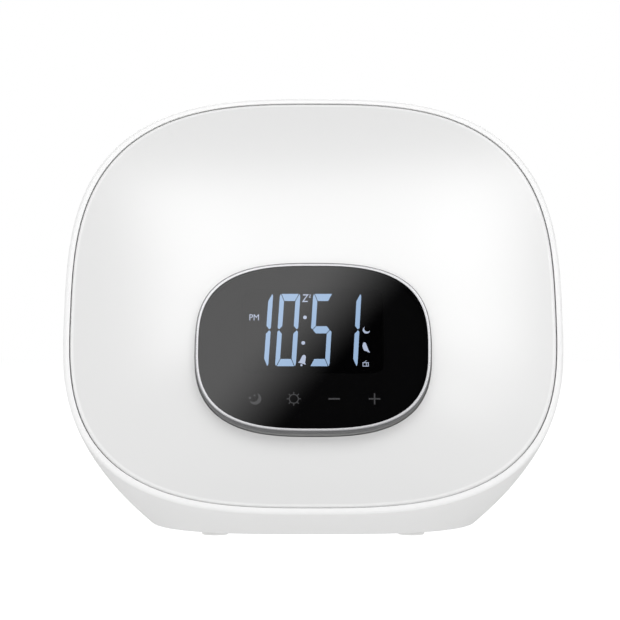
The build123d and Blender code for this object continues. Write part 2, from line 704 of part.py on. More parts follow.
with BuildPart() as display_bezel:
    extrude(window_oval(TOWER_TOP, BEZEL_WALL), amount=WINDOW_FRONT + BEZEL_PROUD - TOWER_TOP)
    ring_edge = display_bezel.edges().filter_by(
        lambda edge: FACE.to_local_coords(edge.center()).Z > WINDOW_FRONT
    )
    fillet(ring_edge, BEZEL_EDGE)
    extrude(
        window_oval(WINDOW_BACK, WINDOW_GAP),
        amount=WINDOW_THICK + BEZEL_PROUD + OVERCUT,
        mode=Mode.SUBTRACT,
    )
    extrude(window_oval(LEDGE_BACK, -BEZEL_LEDGE), amount=2 * WINDOW_THICK, mode=Mode.SUBTRACT)
    extrude(window_oval(TOWER_TOP), amount=LEDGE_BACK - TOWER_TOP, mode=Mode.SUBTRACT)
    with BuildSketch(face_frame(TOWER_TOP, -DISPLAY_DROP)):
        with GridLocations(2 * BEZEL_BOSS_X, 2 * BEZEL_BOSS_Y, 2, 2):
            Circle(BEZEL_BOSS_RADIUS)
    extrude(amount=LEDGE_BACK - TOWER_TOP)
    with BuildSketch(face_frame(TOWER_TOP, -DISPLAY_DROP)):
        with GridLocations(2 * BEZEL_BOSS_X, 2 * BEZEL_BOSS_Y, 2, 2):
            Circle(SMALL_SHANK)
    extrude(amount=SMALL_LENGTH - TOWER_PLATE + HOLE_SPARE, mode=Mode.SUBTRACT)
display_bezel.part.label = "display_bezel"
export_step(display_bezel.part, "parts/display_bezel.step")

with BuildPart() as display_window:
    extrude(window_oval(WINDOW_BACK), amount=WINDOW_THICK)
display_window.part.label = "display_window"
export_step(display_window.part, "parts/display_window.step")

with BuildPart() as lcd_glass:
    with BuildSketch(face_frame(GLASS_BACK, GLASS_LIFT - DISPLAY_DROP)):
        Rectangle(GLASS_WIDTH, GLASS_HEIGHT)
    extrude(amount=GLASS_THICK)
lcd_glass.part.label = "lcd_glass"
export_step(lcd_glass.part, "parts/lcd_glass.step")

with BuildPart() as lcd_light_guide:
    with BuildSketch(face_frame(GUIDE_BACK, GLASS_LIFT - DISPLAY_DROP)):
        Rectangle(GUIDE_WIDTH, GUIDE_HEIGHT)
    extrude(amount=GUIDE_THICK)
lcd_light_guide.part.label = "lcd_light_guide"
export_step(lcd_light_guide.part, "parts/lcd_light_guide.step")

with BuildPart() as zebra_strips:
    with BuildSketch(face_frame(BOARD_FRONT, GLASS_LIFT - DISPLAY_DROP)):
        with GridLocations(0, 2 * ZEBRA_SHIFT, 1, 2):
            Rectangle(ZEBRA_LENGTH, ZEBRA_WIDTH)
    extrude(amount=GLASS_BACK - BOARD_FRONT)
zebra_strips.part.label = "zebra_strips"
export_step(zebra_strips.part, "parts/zebra_strips.step")

with BuildPart() as touch_pads:
    with BuildSketch(face_frame(BOARD_FRONT, -DISPLAY_DROP - PAD_DROP)):
        with GridLocations(PAD_PITCH, 0, 4, 1):
            Circle(PAD_RADIUS)
    extrude(amount=WINDOW_BACK - BOARD_FRONT)
touch_pads.part.label = "touch_pads"
export_step(touch_pads.part, "parts/touch_pads.step")

with BuildPart() as lcd_holder:
    extrude(window_oval(BOARD_FRONT, -FIT_GAP), amount=LEDGE_BACK - FIT_GAP - BOARD_FRONT)
    extrude(window_oval(BOARD_FRONT, -BEZEL_LEDGE - FIT_GAP), amount=GLASS_FRONT - BOARD_FRONT)
    with BuildSketch(face_frame(GLASS_BACK, GLASS_LIFT - DISPLAY_DROP)):
        Rectangle(GLASS_WIDTH + 2 * FIT_GAP, GLASS_HEIGHT + 2 * FIT_GAP)
    extrude(amount=GLASS_THICK, mode=Mode.SUBTRACT)
    with BuildSketch(face_frame(GUIDE_BACK, GLASS_LIFT - DISPLAY_DROP)):
        Rectangle(GUIDE_WIDTH + 2 * FIT_GAP, GUIDE_HEIGHT + 2 * FIT_GAP)
    extrude(amount=GUIDE_THICK, mode=Mode.SUBTRACT)
    with BuildSketch(face_frame(BOARD_FRONT, GLASS_LIFT - DISPLAY_DROP)):
        with GridLocations(0, 2 * ZEBRA_SHIFT, 1, 2):
            Rectangle(ZEBRA_LENGTH + 2 * FIT_GAP, ZEBRA_WIDTH + 2 * WINDOW_GAP)
    extrude(amount=GLASS_BACK - BOARD_FRONT, mode=Mode.SUBTRACT)
    with BuildSketch(face_frame(BOARD_FRONT, -DISPLAY_DROP)):
        with Locations((0, -PAD_DROP)):
            with GridLocations(PAD_PITCH, 0, 4, 1):
                Circle(PAD_RADIUS + FIT_GAP)
        with GridLocations(2 * BEZEL_BOSS_X, 2 * BEZEL_BOSS_Y, 2, 2):
            Circle(BEZEL_BOSS_RADIUS + FIT_GAP)
    extrude(amount=WINDOW_BACK - BOARD_FRONT, mode=Mode.SUBTRACT)
lcd_holder.part.label = "lcd_holder"
export_step(lcd_holder.part, "parts/lcd_holder.step")

with BuildPart() as display_board:
    extrude(window_oval(TOWER_TOP, -FIT_GAP), amount=BOARD_THICK)
    with BuildSketch(face_frame(TOWER_TOP, -DISPLAY_DROP)):
        with GridLocations(2 * BEZEL_BOSS_X, 2 * BEZEL_BOSS_Y, 2, 2):
            Circle(BEZEL_BOSS_RADIUS + FIT_GAP)
    extrude(amount=BOARD_THICK, mode=Mode.SUBTRACT)
display_board.part.label = "display_board"
export_step(display_board.part, "parts/display_board.step")

with BuildPart() as display_socket:
    with BuildSketch(face_frame(TOWER_TOP, -DISPLAY_DROP - RIBBON_SOCKET_DROP)):
        Rectangle(RIBBON_SOCKET_WIDTH, RIBBON_SOCKET_HEIGHT)
    extrude(amount=-RIBBON_SOCKET_THICK)
display_socket.part.label = "display_socket"
export_step(display_socket.part, "parts/display_socket.step")

# ----------------------------------------------------------------------------------------
# Reflector: flange, dish, tower; and the light sources in the dish
# ----------------------------------------------------------------------------------------

LED_SPOTS = []
for index in range(LED_COUNT):
    LED_SPOTS.append(90 - LED_SPAN / 2 + LED_SPAN * index / (LED_COUNT - 1))
LED_SCREW_SPOTS = []
for turn in LED_SCREW_ANGLES:
    for side in (-1, 1):
        LED_SCREW_SPOTS.append(90 + side * turn)


def arch_point(direction):
    """Point on the middle line of the arch-shaped board."""
    return oval_point(
        LED_BOARD_HALF_WIDTH - LED_BOARD_WIDTH / 2,
        LED_BOARD_HALF_HEIGHT - LED_BOARD_WIDTH / 2,
        LED_BOARD_HALF_HEIGHT - LED_BOARD_WIDTH / 2,
        RIM_POWER,
        direction,
    )


LED_PLANE = face_frame(DISH_FLOOR + BOARD_THICK, LED_BOARD_SHIFT)
LED_SOCKET_SPOT = arch_point(90 - LED_SOCKET_ANGLE)

with BuildPart() as reflector_frame:
    extrude(diffuser_oval(FLANGE_BACK), amount=FLANGE_THICK)
    loft(
        sections=[
            diffuser_oval(FLANGE_BACK, DISH_RIM_MARGIN - DISH_WALL),
            diffuser_oval(DISH_FLOOR - DISH_WALL, DISH_RIM_MARGIN + DISH_SLOPE - DISH_WALL),
        ]
    )
    loft(
        sections=[
            diffuser_oval(FLANGE_FRONT, DISH_RIM_MARGIN),
            diffuser_oval(DISH_FLOOR, DISH_RIM_MARGIN + DISH_SLOPE),
        ],
        mode=Mode.SUBTRACT,
    )
    extrude(window_oval(DISH_FLOOR, BEZEL_WALL), amount=TOWER_TOP - DISH_FLOOR)
    extrude(
        window_oval(DISH_FLOOR - DISH_WALL, BEZEL_WALL - TOWER_WALL),
        amount=TOWER_TOP - TOWER_PLATE - DISH_FLOOR + DISH_WALL,
        mode=Mode.SUBTRACT,
    )
    # Posts behind the dish for the screws of the light board
    with BuildSketch(face_frame(DISH_FLOOR - DISH_WALL, LED_BOARD_SHIFT)):
        with Locations(*[arch_point(turn) for turn in LED_SCREW_SPOTS]):
            Circle(SMALL_POST)
    extrude(amount=-LED_POST_LENGTH)
    with BuildSketch(face_frame(DISH_FLOOR, LED_BOARD_SHIFT)):
        with Locations(*[arch_point(turn) for turn in LED_SCREW_SPOTS]):
            Circle(SMALL_SHANK)
    extrude(amount=-(SMALL_LENGTH - BOARD_THICK), mode=Mode.SUBTRACT)
    # Openings for the sockets of both boards
    with BuildSketch(face_frame(DISH_FLOOR, LED_BOARD_SHIFT)):
        with Locations(LED_SOCKET_SPOT):
            Rectangle(SOCKET_HEIGHT + 2 * FIT_GAP, SOCKET_WIDTH + 2 * FIT_GAP)
    extrude(amount=-DISH_WALL, mode=Mode.SUBTRACT)
    with BuildSketch(face_frame(TOWER_TOP, -DISPLAY_DROP)):
        with Locations((0, -RIBBON_SOCKET_DROP)):
            Rectangle(RIBBON_SOCKET_WIDTH + 2 * FIT_GAP, RIBBON_SOCKET_HEIGHT + 2 * FIT_GAP)
        with GridLocations(2 * BEZEL_BOSS_X, 2 * BEZEL_BOSS_Y, 2, 2):
            Circle(SMALL_SHANK + SCREW_GAP)
    extrude(amount=-TOWER_PLATE, mode=Mode.SUBTRACT)
    # Holes for the screws in the flange, and notches for the diffuser's clips
    with BuildSketch(FACE.offset(FLANGE_FRONT)):
        with Locations(*FRAME_SCREWS):
            Circle(LARGE_SHANK + SCREW_GAP)
    extrude(amount=-FLANGE_THICK, mode=Mode.SUBTRACT)
    with BuildPart(mode=Mode.PRIVATE) as clip_notches:
        extrude(diffuser_oval(FLANGE_BACK, -OVERCUT), amount=FLANGE_THICK)
        extrude(
            diffuser_oval(FLANGE_BACK, CLIP_THICK + FIT_GAP),
            amount=FLANGE_THICK,
            mode=Mode.SUBTRACT,
        )
        with BuildSketch(FACE.offset(FLANGE_BACK)) as notch_boxes:
            for x, y, width, height in CLIP_BOXES:
                with Locations((x, y)):
                    Rectangle(width + 2 * FIT_GAP, height + 2 * FIT_GAP)
        extrude(amount=FLANGE_THICK, mode=Mode.INTERSECT)
    add(clip_notches.part, mode=Mode.SUBTRACT)
reflector_frame.part.label = "reflector_frame"
export_step(reflector_frame.part, "parts/reflector_frame.step")

with BuildPart() as led_board:
    with BuildSketch(face_frame(DISH_FLOOR, LED_BOARD_SHIFT)):
        for cut, mode in ((0.0, Mode.ADD), (LED_BOARD_WIDTH, Mode.SUBTRACT)):
            arch = []
            for step in range(OVAL_POINTS):
                arch.append(
                    oval_point(
                        LED_BOARD_HALF_WIDTH - cut,
                        LED_BOARD_HALF_HEIGHT - cut,
                        LED_BOARD_HALF_HEIGHT - cut,
                        RIM_POWER,
                        360 * step / OVAL_POINTS,
                    )
                )
            with BuildLine():
                Spline(*arch, periodic=True)
            make_face(mode=mode)
        with Locations((0, LED_BOARD_END - LED_BOARD_SHIFT)):
            Rectangle(
                3 * LED_BOARD_HALF_WIDTH,
                2 * LED_BOARD_HALF_HEIGHT,
                align=(Align.CENTER, Align.MAX),
                mode=Mode.SUBTRACT,
            )
        with Locations(*[arch_point(turn) for turn in LED_SCREW_SPOTS]):
            Circle(SMALL_SHANK + SCREW_GAP, mode=Mode.SUBTRACT)
    extrude(amount=BOARD_THICK)
led_board.part.label = "led_board"
export_step(led_board.part, "parts/led_board.step")

with BuildPart() as light_sources:
    with BuildSketch(LED_PLANE):
        with Locations(*[arch_point(turn) for turn in LED_SPOTS]):
            Rectangle(LED_SIZE, LED_SIZE)
    extrude(amount=LED_THICK)
light_sources.part.label = "light_sources"
export_step(light_sources.part, "parts/light_sources.step")

with BuildPart() as led_socket:
    with BuildSketch(face_frame(DISH_FLOOR, LED_BOARD_SHIFT)):
        with Locations(LED_SOCKET_SPOT):
            Rectangle(SOCKET_HEIGHT, SOCKET_WIDTH)
    extrude(amount=-SOCKET_THICK)
led_socket.part.label = "led_socket"
export_step(led_socket.part, "parts/led_socket.step")

# ----------------------------------------------------------------------------------------
# Screws of the front group
# ----------------------------------------------------------------------------------------

with BuildPart() as frame_screws:
    add(screws(FACE.offset(FLANGE_FRONT), FRAME_SCREWS, LARGE_SHANK, LARGE_HEAD,
               LARGE_HEAD_THICK, LARGE_LENGTH))
frame_screws.part.label = "frame_screws"
export_step(frame_screws.part, "parts/frame_screws.step")

with BuildPart() as led_screws:
    add(screws(LED_PLANE, [arch_point(turn) for turn in LED_SCREW_SPOTS], SMALL_SHANK,
               SMALL_HEAD, SMALL_HEAD_THICK, SMALL_LENGTH))
led_screws.part.label = "led_screws"
export_step(led_screws.part, "parts/led_screws.step")

BEHIND_TOWER = Plane(
    origin=face_frame(TOWER_TOP - TOWER_PLATE, -DISPLAY_DROP).origin,
    x_dir=FACE.x_dir,
    z_dir=-FACE.z_dir,
)
BOSS_SPOTS = []
for side in (-1, 1):
    for level in (-1, 1):
        BOSS_SPOTS.append((side * BEZEL_BOSS_X, level * BEZEL_BOSS_Y))
with BuildPart() as display_screws:
    add(screws(BEHIND_TOWER, BOSS_SPOTS, SMALL_SHANK, SMALL_HEAD, SMALL_HEAD_THICK,
               SMALL_LENGTH))
display_screws.part.label = "display_screws"
export_step(display_screws.part, "parts/display_screws.step")

# ----------------------------------------------------------------------------------------
# Speaker: turned pieces about an axis through the grille
# ----------------------------------------------------------------------------------------

MAGNET_FRONT = -BASKET_DEPTH - TOP_PLATE_THICK
MAGNET_BACK = MAGNET_FRONT - MAGNET_THICK
CONE_NECK = COIL_RADIUS + COIL_THICK / 2
CONE_BACK = -CONE_FRONT - CONE_DEPTH

with BuildPart() as speaker_basket:
    with BuildSketch(REAR.offset(FLANGE_BEHIND)):
        with Locations((0, SPEAKER_Z)):
            RectangleRounded(SPEAKER_SIZE, SPEAKER_SIZE, SPEAKER_CORNER)
            Circle(BASKET_MOUTH, mode=Mode.SUBTRACT)
            with GridLocations(SPEAKER_HOLE_PITCH, SPEAKER_HOLE_PITCH, 2, 2):
                Circle(SMALL_SHANK + SCREW_GAP, mode=Mode.SUBTRACT)
    extrude(amount=SPEAKER_FLANGE)
    with BuildSketch(SPEAKER_SIDE):
        with BuildLine():
            Polyline(
                (-SPEAKER_FLANGE, BASKET_MOUTH),
                (-SPEAKER_FLANGE / 2, BASKET_MOUTH + BASKET_WALL),
                (-SPEAKER_FLANGE, BASKET_MOUTH + BASKET_WALL),
                (-SPIDER_BEHIND, BASKET_SHOULDER + BASKET_WALL),
                (-SPIDER_BEHIND - BASKET_WALL, BASKET_SHOULDER),
                (-SPIDER_BEHIND - BASKET_WALL, BASKET_BACK + BASKET_WALL),
                (-BASKET_DEPTH, BASKET_BACK + BASKET_WALL),
                (-BASKET_DEPTH, BASKET_BORE),
                (-BASKET_DEPTH + BASKET_WALL, BASKET_BORE),
                (-BASKET_DEPTH + BASKET_WALL, BASKET_BACK),
                (-SPIDER_BEHIND, BASKET_BACK),
                (-SPIDER_BEHIND, BASKET_SHOULDER),
                close=True,
            )
        make_face()
    revolve(axis=SPEAKER_AXIS)
    with BuildSketch(REAR.offset(FLANGE_BEHIND + BASKET_WINDOW_FRONT)):
        with Locations((0, SPEAKER_Z)):
            with PolarLocations(BASKET_MOUTH, BASKET_WINDOWS):
                Rectangle(BASKET_MOUTH - BASKET_BACK, BASKET_WINDOW_WIDTH)
    extrude(amount=BASKET_WINDOW_DEPTH, mode=Mode.SUBTRACT)
speaker_basket.part.label = "speaker_basket"
export_step(speaker_basket.part, "parts/speaker_basket.step")

with BuildPart() as speaker_gasket:
    with BuildSketch(REAR.offset(WALL)):
        with Locations((0, SPEAKER_Z)):
            Circle(BASKET_MOUTH + GASKET_WIDTH)
            Circle(BASKET_MOUTH, mode=Mode.SUBTRACT)
    extrude(amount=GASKET_THICK)
speaker_gasket.part.label = "speaker_gasket"
export_step(speaker_gasket.part, "parts/speaker_gasket.step")

with BuildPart() as speaker_terminals:
    with BuildSketch(REAR.offset(FLANGE_BEHIND + SPEAKER_FLANGE)):
        with Locations((TERMINAL_X, SPEAKER_Z - TERMINAL_DROP)):
            Rectangle(TERMINAL_WIDTH, TERMINAL_HEIGHT)
    extrude(amount=TERMINAL_THICK)
speaker_terminals.part.label = "speaker_terminals"
export_step(speaker_terminals.part, "parts/speaker_terminals.step")

with BuildPart() as speaker_top_plate:
    with BuildSketch(REAR.offset(FLANGE_BEHIND + BASKET_DEPTH)):
        with Locations((0, SPEAKER_Z)):
            Circle(TOP_PLATE_RADIUS)
            Circle(PLATE_BORE, mode=Mode.SUBTRACT)
    extrude(amount=TOP_PLATE_THICK)
speaker_top_plate.part.label = "speaker_top_plate"
export_step(speaker_top_plate.part, "parts/speaker_top_plate.step")

with BuildPart() as speaker_magnet:
    with BuildSketch(REAR.offset(FLANGE_BEHIND - MAGNET_FRONT)):
        with Locations((0, SPEAKER_Z)):
            Circle(MAGNET_RADIUS)
            Circle(MAGNET_BORE, mode=Mode.SUBTRACT)
    extrude(amount=MAGNET_THICK)
speaker_magnet.part.label = "speaker_magnet"
export_step(speaker_magnet.part, "parts/speaker_magnet.step")

with BuildPart() as speaker_yoke:
    with BuildSketch(REAR.offset(FLANGE_BEHIND - MAGNET_BACK)):
        with Locations((0, SPEAKER_Z)):
            Circle(TOP_PLATE_RADIUS)
    extrude(amount=YOKE_THICK)
    with BuildSketch(REAR.offset(FLANGE_BEHIND - MAGNET_BACK)):
        with Locations((0, SPEAKER_Z)):
            Circle(POLE_RADIUS)
    extrude(amount=-(MAGNET_THICK + TOP_PLATE_THICK))
speaker_yoke.part.label = "speaker_yoke"
export_step(speaker_yoke.part, "parts/speaker_yoke.step")

with BuildPart() as speaker_cone:
    with BuildSketch(SPEAKER_SIDE):
        with BuildLine():
            Polyline(
                (CONE_BACK, CONE_NECK),
                (CONE_BACK + CONE_THICK, CONE_NECK),
                (-CONE_FRONT, CONE_RADIUS),
                (-CONE_FRONT - CONE_THICK, CONE_RADIUS),
                close=True,
            )
        make_face()
    revolve(axis=SPEAKER_AXIS)
speaker_cone.part.label = "speaker_cone"
export_step(speaker_cone.part, "parts/speaker_cone.step")

with BuildPart() as voice_coil:
    with BuildSketch(REAR.offset(FLANGE_BEHIND - CONE_BACK)):
        with Locations((0, SPEAKER_Z)):
            Circle(COIL_RADIUS + COIL_THICK / 2)
            Circle(COIL_RADIUS - COIL_THICK / 2, mode=Mode.SUBTRACT)
    extrude(amount=COIL_LENGTH)
voice_coil.part.label = "voice_coil"
export_step(voice_coil.part, "parts/voice_coil.step")

CAP_SHARE = (CAP_RADIUS - CONE_NECK) / (CONE_RADIUS - CONE_NECK)
CAP_BACK = CONE_BACK + CONE_THICK + CAP_SHARE * (CONE_DEPTH - CONE_THICK)
with BuildPart() as dust_cap:
    with BuildSketch(SPEAKER_SIDE):
        with BuildLine():
            cap_front = JernArc((CAP_BACK + CAP_HEIGHT, 0), (0, 1), CAP_RADIUS * 2, 28)
            cap_back = JernArc(
                (CAP_BACK + CAP_HEIGHT - CAP_THICK, 0), (0, 1), CAP_RADIUS * 2 - CAP_THICK, 28
            )
            Line(cap_front @ 0, cap_back @ 0)
            Line(cap_front @ 1, cap_back @ 1)
        make_face()
    revolve(axis=SPEAKER_AXIS)
dust_cap.part.label = "dust_cap"
export_step(dust_cap.part, "parts/dust_cap.step")

ROLL_INNER = CONE_RADIUS + ROLL_GAP
ROLL_OUTER = BASKET_MOUTH - ROLL_GAP
ROLL_MIDDLE = (ROLL_INNER + ROLL_OUTER) / 2
with BuildPart() as speaker_surround:
    with BuildSketch(SPEAKER_SIDE):
        with BuildLine():
            ThreePointArc(
                (-CONE_FRONT, ROLL_INNER),
                (-CONE_FRONT + ROLL_HEIGHT, ROLL_MIDDLE),
                (-CONE_FRONT, ROLL_OUTER),
            )
            ThreePointArc(
                (-CONE_FRONT, ROLL_INNER + ROLL_THICK),
                (-CONE_FRONT + ROLL_HEIGHT - ROLL_THICK, ROLL_MIDDLE),
                (-CONE_FRONT, ROLL_OUTER - ROLL_THICK),
            )
            Line((-CONE_FRONT, ROLL_INNER), (-CONE_FRONT, ROLL_INNER + ROLL_THICK))
            Line((-CONE_FRONT, ROLL_OUTER), (-CONE_FRONT, ROLL_OUTER - ROLL_THICK))
        make_face()
    revolve(axis=SPEAKER_AXIS)
speaker_surround.part.label = "speaker_surround"
export_step(speaker_surround.part, "parts/speaker_surround.step")

with BuildPart() as speaker_spider:
    with BuildSketch(REAR.offset(FLANGE_BEHIND + SPIDER_BEHIND - SPIDER_THICK)):
        with Locations((0, SPEAKER_Z)):
            Circle(BASKET_SHOULDER - ROLL_GAP)
            Circle(CONE_NECK + ROLL_GAP, mode=Mode.SUBTRACT)
    extrude(amount=SPIDER_THICK)
speaker_spider.part.label = "speaker_spider"
export_step(speaker_spider.part, "parts/speaker_spider.step")

SPEAKER_SPOTS = []
BOARD_SPOTS = []
for side in (-1, 1):
    for level in (-1, 1):
        SPEAKER_SPOTS.append(
            (side * SPEAKER_HOLE_PITCH / 2, SPEAKER_Z + level * SPEAKER_HOLE_PITCH / 2)
        )
        BOARD_SPOTS.append(
            (side * MAIN_BOARD_SCREW_X, MAIN_BOARD_Z + level * MAIN_BOARD_SCREW_Z)
        )
with BuildPart() as speaker_screws:
    add(screws(REAR.offset(FLANGE_BEHIND + SPEAKER_FLANGE), SPEAKER_SPOTS, SMALL_SHANK,
               SMALL_HEAD, SMALL_HEAD_THICK, SPEAKER_SCREW_LENGTH))
speaker_screws.part.label = "speaker_screws"
export_step(speaker_screws.part, "parts/speaker_screws.step")

# ----------------------------------------------------------------------------------------
# Main board with the parts on it
# ----------------------------------------------------------------------------------------

with BuildPart() as main_board:
    with BuildSketch(REAR.offset(MAIN_BOARD_BEHIND)):
        with Locations((0, MAIN_BOARD_Z)):
            Rectangle(MAIN_BOARD_WIDTH, MAIN_BOARD_HEIGHT)
        with Locations(*BOARD_SPOTS):
            Circle(SMALL_SHANK + SCREW_GAP, mode=Mode.SUBTRACT)
    extrude(amount=BOARD_THICK)
main_board.part.label = "main_board"
export_step(main_board.part, "parts/main_board.step")

with BuildPart() as board_screws:
    add(screws(REAR.offset(PARTS_FACE), BOARD_SPOTS, SMALL_SHANK, SMALL_HEAD,
               SMALL_HEAD_THICK, SMALL_LENGTH))
board_screws.part.label = "board_screws"
export_step(board_screws.part, "parts/board_screws.step")

with BuildPart() as processor_chip:
    with BuildSketch(REAR.offset(PARTS_FACE)):
        with Locations((PROCESSOR_X, CHIP_Z)):
            Rectangle(PROCESSOR_SIZE, PROCESSOR_SIZE)
    extrude(amount=CHIP_THICK)
processor_chip.part.label = "processor_chip"
export_step(processor_chip.part, "parts/processor_chip.step")

with BuildPart() as amplifier_chip:
    with BuildSketch(REAR.offset(PARTS_FACE)):
        with Locations((AMPLIFIER_X, CHIP_Z)):
            Rectangle(AMPLIFIER_WIDTH, AMPLIFIER_HEIGHT)
    extrude(amount=CHIP_THICK)
amplifier_chip.part.label = "amplifier_chip"
export_step(amplifier_chip.part, "parts/amplifier_chip.step")

with BuildPart() as capacitors:
    with BuildSketch(REAR.offset(PARTS_FACE)):
        with Locations((CAPACITOR_X, CAPACITOR_Z)):
            with GridLocations(0, CAPACITOR_PITCH, 1, CAPACITOR_COUNT):
                Circle(CAPACITOR_RADIUS)
    extrude(amount=CAPACITOR_HEIGHT)
capacitors.part.label = "capacitors"
export_step(capacitors.part, "parts/capacitors.step")

with BuildPart() as board_sockets:
    with BuildSketch(REAR.offset(PARTS_FACE)):
        with Locations((0, SOCKET_Z)):
            with GridLocations(SOCKET_PITCH, 0, SOCKET_COUNT, 1):
                Rectangle(SOCKET_WIDTH, SOCKET_HEIGHT)
    extrude(amount=SOCKET_THICK)
board_sockets.part.label = "board_sockets"
export_step(board_sockets.part, "parts/board_sockets.step")

# Power inlet: square body on the board, round nose in the housing's hole, pin in its bore
with BuildPart() as dc_jack:
    with BuildSketch(REAR.offset(JACK_BEHIND)):
        with Locations((JACK_X, JACK_Z)):
            Rectangle(JACK_SIZE, JACK_SIZE)
    extrude(amount=MAIN_BOARD_BEHIND - JACK_BEHIND)
    with BuildSketch(REAR.offset(JACK_NOSE_RECESS)):
        with Locations((JACK_X, JACK_Z)):
            Circle(JACK_NOSE_RADIUS)
    extrude(amount=JACK_BEHIND - JACK_NOSE_RECESS)
    with BuildSketch(REAR.offset(JACK_NOSE_RECESS)):
        with Locations((JACK_X, JACK_Z)):
            Circle(JACK_BORE_RADIUS)
    extrude(amount=JACK_BORE_DEPTH, mode=Mode.SUBTRACT)
    with BuildSketch(REAR.offset(JACK_NOSE_RECESS + JACK_BORE_DEPTH)):
        with Locations((JACK_X, JACK_Z)):
            Circle(JACK_PIN_RADIUS)
    extrude(amount=-(JACK_BORE_DEPTH - JACK_PIN_RECESS))
dc_jack.part.label = "dc_jack"
export_step(dc_jack.part, "parts/dc_jack.step")

with BuildPart() as key_switches:
    with BuildSketch(REAR.offset(SWITCH_FACE)):
        with Locations((0, KEY_Z)):
            with GridLocations(KEY_PITCH, 0, KEY_COUNT, 1):
                Rectangle(SWITCH_SIZE, SWITCH_SIZE)
    extrude(amount=SWITCH_THICK)
    with BuildSketch(REAR.offset(SWITCH_FACE)):
        with Locations((0, KEY_Z)):
            with GridLocations(KEY_PITCH, 0, KEY_COUNT, 1):
                Circle(PLUNGER_RADIUS + PLUNGER_GAP)
    extrude(amount=PLUNGER_DEPTH + KEY_TRAVEL + FIT_GAP, mode=Mode.SUBTRACT)
key_switches.part.label = "key_switches"
export_step(key_switches.part, "parts/key_switches.step")

# ----------------------------------------------------------------------------------------
# Keys on the rear panel, each with the plunger of its switch
# ----------------------------------------------------------------------------------------

for index, name in enumerate(("volume_down", "volume_up", "tune_down", "tune_up")):
    key_x = (index - (KEY_COUNT - 1) / 2) * KEY_PITCH
    with BuildPart() as key:
        with BuildSketch(REAR.offset(-KEY_PROUD)):
            with Locations((key_x, KEY_Z)):
                SlotOverall(KEY_WIDTH, KEY_HEIGHT)
        extrude(amount=KEY_PROUD + WALL + KEY_REST_GAP)
        fillet(key.edges().group_by(Axis.Y)[-1], KEY_EDGE)
        with BuildSketch(REAR.offset(WALL + KEY_REST_GAP)):
            with Locations((key_x, KEY_Z)):
                SlotOverall(KEY_WIDTH + 2 * KEY_FLANGE, KEY_HEIGHT + 2 * KEY_FLANGE)
        extrude(amount=KEY_FLANGE_THICK)
        with BuildSketch(REAR.offset(WALL + KEY_REST_GAP + KEY_FLANGE_THICK)):
            with Locations((key_x, KEY_Z)):
                Circle(KEY_STEM)
        extrude(amount=PLUNGER_FACE - WALL - KEY_REST_GAP - KEY_FLANGE_THICK)
    key.part.label = "key_" + name
    export_step(key.part, "parts/key_" + name + ".step")

    with BuildPart() as plunger:
        with BuildSketch(REAR.offset(PLUNGER_FACE)):
            with Locations((key_x, KEY_Z)):
                Circle(PLUNGER_RADIUS)
        extrude(amount=PLUNGER_PROUD + PLUNGER_DEPTH)
    plunger.part.label = "plunger_" + name
    export_step(plunger.part, "parts/plunger_" + name + ".step")

# Rubber grommet where the aerial wire comes out
with BuildPart() as aerial_grommet:
    with BuildSketch(REAR.offset(-GROMMET_FLANGE)):
        with Locations((GROMMET_X, GROMMET_Z)):
            Circle(GROMMET_RADIUS)
    extrude(amount=GROMMET_FLANGE)
    with BuildSketch(REAR):
        with Locations((GROMMET_X, GROMMET_Z)):
            Circle(GROMMET_NECK)
    extrude(amount=WALL)
    with BuildSketch(REAR.offset(WALL)):
        with Locations((GROMMET_X, GROMMET_Z)):
            Circle(GROMMET_RADIUS)
    extrude(amount=GROMMET_FLANGE)
    with BuildSketch(REAR.offset(-GROMMET_FLANGE)):
        with Locations((GROMMET_X, GROMMET_Z)):
            Circle(GROMMET_BORE)
    extrude(amount=WALL + 2 * GROMMET_FLANGE, mode=Mode.SUBTRACT)
aerial_grommet.part.label = "aerial_grommet"
export_step(aerial_grommet.part, "parts/aerial_grommet.step")

# ----------------------------------------------------------------------------------------
# Base: feet, button cell, its cover and its contacts
# ----------------------------------------------------------------------------------------

for (x, y), name in zip(FOOT_SPOTS, ("front_left", "front_right", "rear_left", "rear_right")):
    with BuildPart() as foot:
        with BuildSketch(Plane.XY):
            with Locations((x, y)):
                Circle(FOOT_RADIUS)
        extrude(amount=FOOT_STAND + FOOT_SINK)
        chamfer(foot.edges().group_by(Axis.Z)[0], FOOT_CHAMFER)
    foot.part.label = "foot_" + name
    export_step(foot.part, "parts/foot_" + name + ".step")

with BuildPart() as button_cell:
    with BuildSketch(Plane.XY.offset(CELL_BOTTOM)):
        with Locations((0, CELL_Y)):
            Circle(CELL_RADIUS)
    extrude(amount=CELL_THICK - CELL_CAP_THICK)
    with BuildSketch(Plane.XY.offset(CELL_TOP - CELL_CAP_THICK)):
        with Locations((0, CELL_Y)):
            Circle(CELL_CAP_RADIUS)
    extrude(amount=CELL_CAP_THICK)
button_cell.part.label = "button_cell"
export_step(button_cell.part, "parts/button_cell.step")

